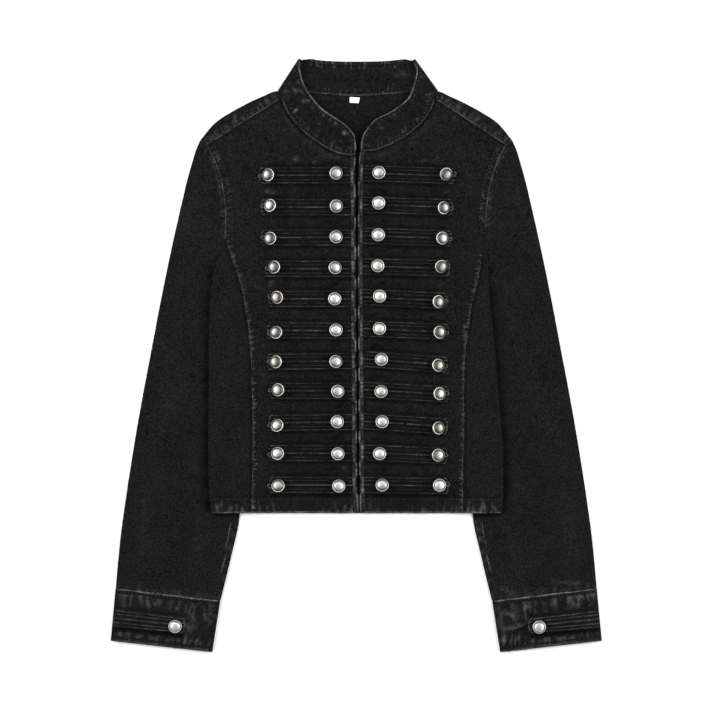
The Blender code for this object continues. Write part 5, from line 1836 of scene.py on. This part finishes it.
class JACKET_OT_keyholes(bpy.types.Operator):
    """Adds the thread-bound eye that shows beside each end button"""
    bl_idname = "jacket.keyholes"
    bl_label = "Keyholes"

    def execute(self, context):
        bpy.ops.object.select_all(action="DESELECT")
        bpy.ops.mesh.primitive_torus_add(major_segments=20, minor_segments=6,
                                         major_radius=KEYHOLE_RADIUS * MM,
                                         minor_radius=KEYHOLE_THREAD * MM)
        pattern = context.active_object
        resize_all((1.25, 1.0, 0.8))
        bpy.ops.object.shade_smooth()
        copies = []
        draw = random.Random(8)
        for name, foot, _ in cad_button_places():
            side, on_cuff = LEFT if "_left" in name else RIGHT, "_cuff_" in name
            if "_outer_" not in name and not on_cuff:
                continue
            outward = -SIGN[side] if on_cuff else SIGN[side]
            mesh = pattern.data.copy()
            away = outward * draw.uniform(*KEYHOLE_OUT)
            at = foot + Vector((away, draw.uniform(-1.5, 1.5), 0.0)) * MM
            under = "cuff_tab_cloth_" if on_cuff else "bands_and_strip_"
            top = surface_at([under + side], at.x / MM, at.y / MM)
            at.z = (top if top is not None else foot.z / MM - 0.3) * MM
            mesh.transform(Matrix.Translation(at) @ Matrix.Rotation(draw.uniform(-0.4, 0.4), 4, "Z"))
            obj = bpy.data.objects.new("keyhole", mesh)
            context.scene.collection.objects.link(obj)
            copies.append(obj)
        bpy.data.objects.remove(pattern, do_unlink=True)
        bpy.ops.object.select_all(action="DESELECT")
        for obj in copies:
            obj.select_set(True)
        context.view_layer.objects.active = copies[0]
        bpy.ops.object.join()
        obj = context.active_object
        obj.name = remake("keyhole_thread")
        obj.data.materials.append(finish("pale_thread"))
        finished(obj, "denim")
        return {"FINISHED"}


ON_FRONT, ON_BODY = ("front_cloth_*",), ("front_cloth_*", "side_front_cloth_*")
ON_BACK, ON_COLLAR = ("back_cloth",), ("collar_cloth",)
ON_SLEEVE, ON_CUFF = ("sleeve_cloth_*",), ("cuff_cloth_*",)
STITCHES = table(StitchRow, [
    ("hem", 16.3, ON_BODY), ("princess", 3.0, ON_FRONT, 18.0), ("armhole", -2.0, ON_BODY),
    ("armhole", -8.6, ON_BODY), ("shoulder", -2.2, ON_BACK), ("shoulder", -8.0, ON_BACK),
    ("neck", 2.2, ON_COLLAR), ("collar_top", -3.2, ON_COLLAR, 6.0), ("cuff_seam", 3.2, ON_CUFF),
    ("cuff_end", -4.0, ON_CUFF), ("inner_sleeve", 7.5, ON_SLEEVE, 130.0),
])
ROLLS = table(Roll, [
    ("collar_top", -1.0, 1.7, 0.8, 0.66, ON_COLLAR, 191, 0.0, -8.0),
    ("neck", 0.7, 1.0, 0.6, 0.42, ON_COLLAR, 201), ("princess", 1.0, 1.1, 0.6, 0.3, ON_FRONT, 211),
    ("armhole", -0.9, 1.1, 0.6, 0.42, ON_BODY, 221), ("shoulder", -0.9, 1.2, 0.7, 0.45, ON_BACK, 231),
    ("cuff_seam", 0.7, 1.9, 0.9, 0.75, ON_CUFF, 241), ("cuff_end", -1.2, 2.2, 0.7, 0.26, ON_CUFF, 251),
    ("hem", 1.1, 2.0, 0.7, 0.5, ON_BODY, 261),
    ("inner_sleeve", 9.2, 1.3, 0.5, 0.45, ON_SLEEVE, 271, 132.0, 166.0),
    ("inner_sleeve", 6.4, 1.3, 0.6, 0.5, ON_SLEEVE, 274, 172.0, 196.0),
])
LADDERS = table(Ladder, [
    ("princess", 0.8, 6.0, 7.0, 0.4, 0.45, ON_FRONT, 401),
    ("armhole", -2.6, -8.0, 6.0, 0.4, 0.2, ON_FRONT, 405),
    ("shoulder", -1.4, -7.0, 5.5, 0.4, 0.2, ON_BACK, 411),
    ("neck", 3.0, 10.0, 5.0, 0.4, 0.2, ON_COLLAR, 415),
    ("collar_top", -3.0, -8.0, 6.0, 0.35, 0.16, ON_COLLAR, 419),
])


class JACKET_OT_stitching(bpy.types.Operator):
    """Adds the rows of topstitching"""
    bl_idname = "jacket.stitching"
    bl_label = "Stitching"

    def execute(self, context):
        draw = random.Random(3)
        for side in SIGN:
            bits = Bits()
            for row in on_side(STITCHES, side):
                sew(bits, row, draw)
            finished(bits.build("stitching_" + side, "thread"), "denim")
        bits = Bits()
        for line, offset in zip(back_collar_lines(), (2.2, -3.0)):
            sew(bits, StitchRow(line, offset, ON_COLLAR), draw)
        finished(bits.build("stitching_collar_back", "thread"), "denim")
        return {"FINISHED"}


class JACKET_OT_worn_edges(bpy.types.Operator):
    """Adds the rolled, rubbed ridges along edges and seams"""
    bl_idname = "jacket.worn_edges"
    bl_label = "Worn edges"

    def execute(self, context):
        for side in SIGN:
            bits = Bits()
            for roll in on_side(ROLLS, side):
                add_roll(bits, roll)
            for ladder in on_side(LADDERS, side):
                add_ladder(bits, ladder)
            add_roll(bits, front_edge_roll(side), front_edge_swing(side))
            finished(bits.build("edge_ridges_" + side, "denim", 80), "denim")
        seam, _ = back_collar_lines()
        bits = Bits()
        end = line_length(seam)[-1] - 14.0
        add_roll(bits, Roll(seam, 0.8, 1.1, 0.5, 0.42, ON_COLLAR, 181, 14.0, end))
        finished(bits.build("edge_ridge_neck", "denim", 80), "denim")
        return {"FINISHED"}


def front_edge_roll(side):
    heights = spread(HEM_Y + 1.5, COLLAR_FRONT[side][0].seam_y - 0.5, 90)
    line = np.array([(SIGN[side] * table_at(FRONT_EDGE, side, y), y) for y in heights])
    onto = ("front_cloth_" + side, "bands_and_strip_" + side)
    return Roll(line, 0.0, 3.0, 0.8, 0.7, onto, 281 + SIGN[side])


def front_edge_swing(side):
    """The ridge is drawn back and wide beside each band, and close to the edge between them."""
    sign = SIGN[side]
    middles = [getattr(band, side + "_front_y") for band in BANDS]

    def swing(y):
        nearest = min(abs(y - middle) for middle in middles)
        beside_band = 1.0 - float(ease(8.8, 11.2, nearest))
        passage = math.exp(-((nearest - 10.0) / 1.2) ** 2)
        ticks = 1.0 - 0.75 * beside_band * (0.5 + 0.5 * math.cos(y * 1.15 + sign)) ** 2
        out = mix(0.3, 3.2, beside_band)
        level = mix(1.0, 0.95, beside_band) * (1.0 - 0.9 * passage) * ticks
        return -sign * out, mix(1.0, 1.7, beside_band), level
    return swing


GUSSET_ROWS = (-32.0, -24.0, -16.0, -8.0, 0.0, 5.0)   # from the armpit
GUSSET_RING = ((-13.0, -0.3), (-13.0, -0.08), (13.0, -0.08), (13.0, -0.3))
PIT_SEAM = {
    LEFT: [(165.5, 96.0), (164.6, 103.0), (164.1, 107.5), (162.6, 111.5), (159.0, 116.5)],
    RIGHT: [(154.9, 101.0), (154.8, 108.0), (154.0, 113.0), (152.8, 116.0), (149.5, 121.0)]}
PIT_SEAM_HEIGHT = 4.7
CUFF_SEAM_HEIGHT = 2.5
NECK_SEAM_HEIGHT = 0.7
NECK_SEAM_OUT = 66.0


def seam_strip(bits, line, near, far, height, half=0.3):
    """A flat strip inside a seam, from near to far to the line's left."""
    _, xy, left = walk(line, 4.0, 1.5, line_length(line)[-1] - 1.5)
    rings = [[(x + nx * out, y + ny * out, height + up)
              for out, up in ((near, -half), (near, half), (far, half), (far, -half))]
             for (x, y), (nx, ny) in zip(xy, left)]
    bits.unworn(rings)


class JACKET_OT_allowances(bpy.types.Operator):
    """Adds the seam allowances that close the armpits, the cuff seams and the neck seam"""
    bl_idname = "jacket.allowances"
    bl_label = "Seam allowances"

    def execute(self, context):
        bits = Bits()
        for side, sign in SIGN.items():
            pit = armpit(side)
            rings = []
            for step in GUSSET_ROWS:
                y = pit.y + step
                under = under_back(pit.x, min(y, pit.y))
                rings.append([(pit.x + out, y, under + up) for out, up in GUSSET_RING])
            bits.unworn(rings)
            pit_seam = smooth_line([(sign * out, y) for out, y in PIT_SEAM[side]])
            seam_strip(bits, pit_seam, -3.0, 3.0, PIT_SEAM_HEIGHT)
            seam_strip(bits, side_lines(side)["cuff_seam"], -4.0, 4.0, CUFF_SEAM_HEIGHT)
        neck, _ = back_collar_lines()
        seam_strip(bits, near_middle(neck, NECK_SEAM_OUT), -1.6, 1.0, NECK_SEAM_HEIGHT)
        finished(bits.build("seam_allowances", "denim"), "denim")
        return {"FINISHED"}


LABEL_WIDTH, LABEL_DEPTH, LABEL_WALL = 11.0, 6.6, 0.35
LABEL_PLACE, LABEL_TURN = (-2.0, 296.4, 0.0), -3.0


class JACKET_OT_label(bpy.types.Operator):
    """Adds the bare white neck label"""
    bl_idname = "jacket.label"
    bl_label = "Neck label"

    def execute(self, context):
        bpy.ops.object.select_all(action="DESELECT")
        bpy.ops.mesh.primitive_grid_add(x_subdivisions=14, y_subdivisions=10, size=1.0,
                                        location=(0.0, 0.0, 0.0))
        obj = context.active_object
        resize_all((LABEL_WIDTH * MM, LABEL_DEPTH * MM, 1.0))
        for vert in obj.data.vertices:
            x, y = vert.co.x / MM, vert.co.y / MM
            curl = 0.5 * float(ease(2.0, LABEL_WIDTH / 2, abs(x + 1.0)))
            curl += 0.9 * float(ease(0.8, LABEL_DEPTH / 2, -y))
            vert.co.x += 0.15 * y * max(0.0, x / (LABEL_WIDTH / 2)) * MM
            vert.co.z = (DENIM + LABEL_WALL + curl) * MM
        obj.data.transform(Matrix.Translation(Vector(LABEL_PLACE) * MM)
                           @ Matrix.Rotation(math.radians(LABEL_TURN), 4, "Z"))
        solid = obj.modifiers.new("Thickness", "SOLIDIFY")
        solid.thickness = LABEL_WALL * MM
        solid.offset = -1.0
        bpy.ops.object.modifier_apply(modifier=solid.name)
        bpy.ops.object.shade_smooth_by_angle(angle=math.radians(40))
        obj.name = remake("neck_label")
        obj.data.materials.append(finish("label"))
        finished(obj, "denim")
        return {"FINISHED"}


SKY_TURN = (0.15, 0.8)     # between straight above and the sides
SKY_LEVEL = (0.24, 0.92)


def studio_world():
    """Soft light from all round, weak straight above and strong from both sides."""
    world = bpy.data.worlds.new("studio")
    world.use_nodes = True
    tree = world.node_tree
    facing = add_node(tree, "ShaderNodeTexCoord").outputs["Generated"]
    across = add_node(tree, "ShaderNodeSeparateXYZ", inputs={0: facing}).outputs[0]
    aside = combined(tree, "ABSOLUTE", across)
    level = ranged(tree, aside, *SKY_TURN, *SKY_LEVEL)
    tree.links.new(level, tree.nodes["Background"].inputs["Color"])
    tree.nodes["Background"].inputs["Strength"].default_value = 1.0
    return world


Lamp = namedtuple("Lamp", "name place size energy")
LAMPS = [
    Lamp("left_softbox", (-2.1, 0.5, 1.5), 1.7, 72.0),
    Lamp("right_softbox", (2.1, 0.2, 1.5), 1.7, 66.0),
    Lamp("top_fill", (0.0, 1.6, 2.4), 1.2, 17.0),
]
FLOOR_SIZE, FLOOR_Z = 30.0, -0.0003
CAMERA_PLACE = (0.0044, -0.0056, 3.2)
SENSOR, VIEW_WIDTH, VIEW_HEIGHT = 36.0, 0.8352, 0.008   # the view's width is at that height


class JACKET_OT_stage(bpy.types.Operator):
    """Adds the pale floor, the soft lights and the camera overhead"""
    bl_idname = "jacket.stage"
    bl_label = "Floor, lights and camera"

    def execute(self, context):
        scene = context.scene
        bpy.ops.object.select_all(action="DESELECT")
        bpy.ops.mesh.primitive_plane_add(size=FLOOR_SIZE, location=(0.0, 0.0, FLOOR_Z))
        floor = context.active_object
        floor.name = "floor"
        material, _, shader = new_finish("pale_floor", Roughness=0.95, Specular_IOR_Level=0.1)
        shader.inputs["Base Color"].default_value = (*scene.jacket_looks.floor, 1.0)
        floor.data.materials.append(material)

        scene.world = studio_world()
        scene.view_settings.view_transform = "Standard"
        for lamp in LAMPS:
            bpy.ops.object.light_add(type="AREA", location=lamp.place)
            light = context.active_object
            light.name = lamp.name
            light.data.size = lamp.size
            light.data.energy = lamp.energy
            light.rotation_mode = "QUATERNION"
            light.rotation_quaternion = (-Vector(lamp.place)).to_track_quat("-Z", "Y")

        bpy.ops.object.camera_add(location=CAMERA_PLACE, rotation=(0.0, 0.0, 0.0))
        camera = context.active_object
        camera.name = "overhead"
        camera.data.sensor_width = SENSOR
        camera.data.lens = SENSOR * (CAMERA_PLACE[2] - VIEW_HEIGHT) / VIEW_WIDTH
        camera.data.clip_start, camera.data.clip_end = 0.1, 100.0
        scene.camera = camera
        return {"FINISHED"}


OPERATORS = [
    JACKET_OT_stage, JACKET_OT_back, JACKET_OT_fronts, JACKET_OT_side_fronts, JACKET_OT_collar,
    JACKET_OT_sleeves, JACKET_OT_cuffs, JACKET_OT_bands, JACKET_OT_cuff_tabs, JACKET_OT_buttons,
    JACKET_OT_keyholes, JACKET_OT_stitching, JACKET_OT_worn_edges, JACKET_OT_allowances,
    JACKET_OT_label,
]


class JACKET_PT_panel(bpy.types.Panel):
    """Lists the jacket's colours, sizes and steps"""
    bl_idname = "JACKET_PT_panel"
    bl_label = "Banded Denim Jacket"
    bl_space_type = "VIEW_3D"
    bl_region_type = "UI"
    bl_category = "Jacket"

    def draw(self, context):
        looks = context.scene.jacket_looks
        for name in JacketLooks.__annotations__:
            self.layout.prop(looks, name)
        for operator in OPERATORS:
            self.layout.operator(operator.bl_idname)


CLASSES = [JacketLooks] + OPERATORS + [JACKET_PT_panel]


def register():
    for cls in CLASSES:
        bpy.utils.register_class(cls)
    bpy.types.Scene.jacket_looks = bpy.props.PointerProperty(type=JacketLooks)


def unregister():
    del bpy.types.Scene.jacket_looks
    for cls in reversed(CLASSES):
        bpy.utils.unregister_class(cls)


def main():
    register()
    for obj in [o for o in bpy.data.objects if o.name in ("Cube", "Light", "Camera")]:
        bpy.data.objects.remove(obj, do_unlink=True)
    for operator in OPERATORS:
        group, name = operator.bl_idname.split(".")
        getattr(getattr(bpy.ops, group), name)()
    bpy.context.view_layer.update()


if __name__ == "__main__":
    main()
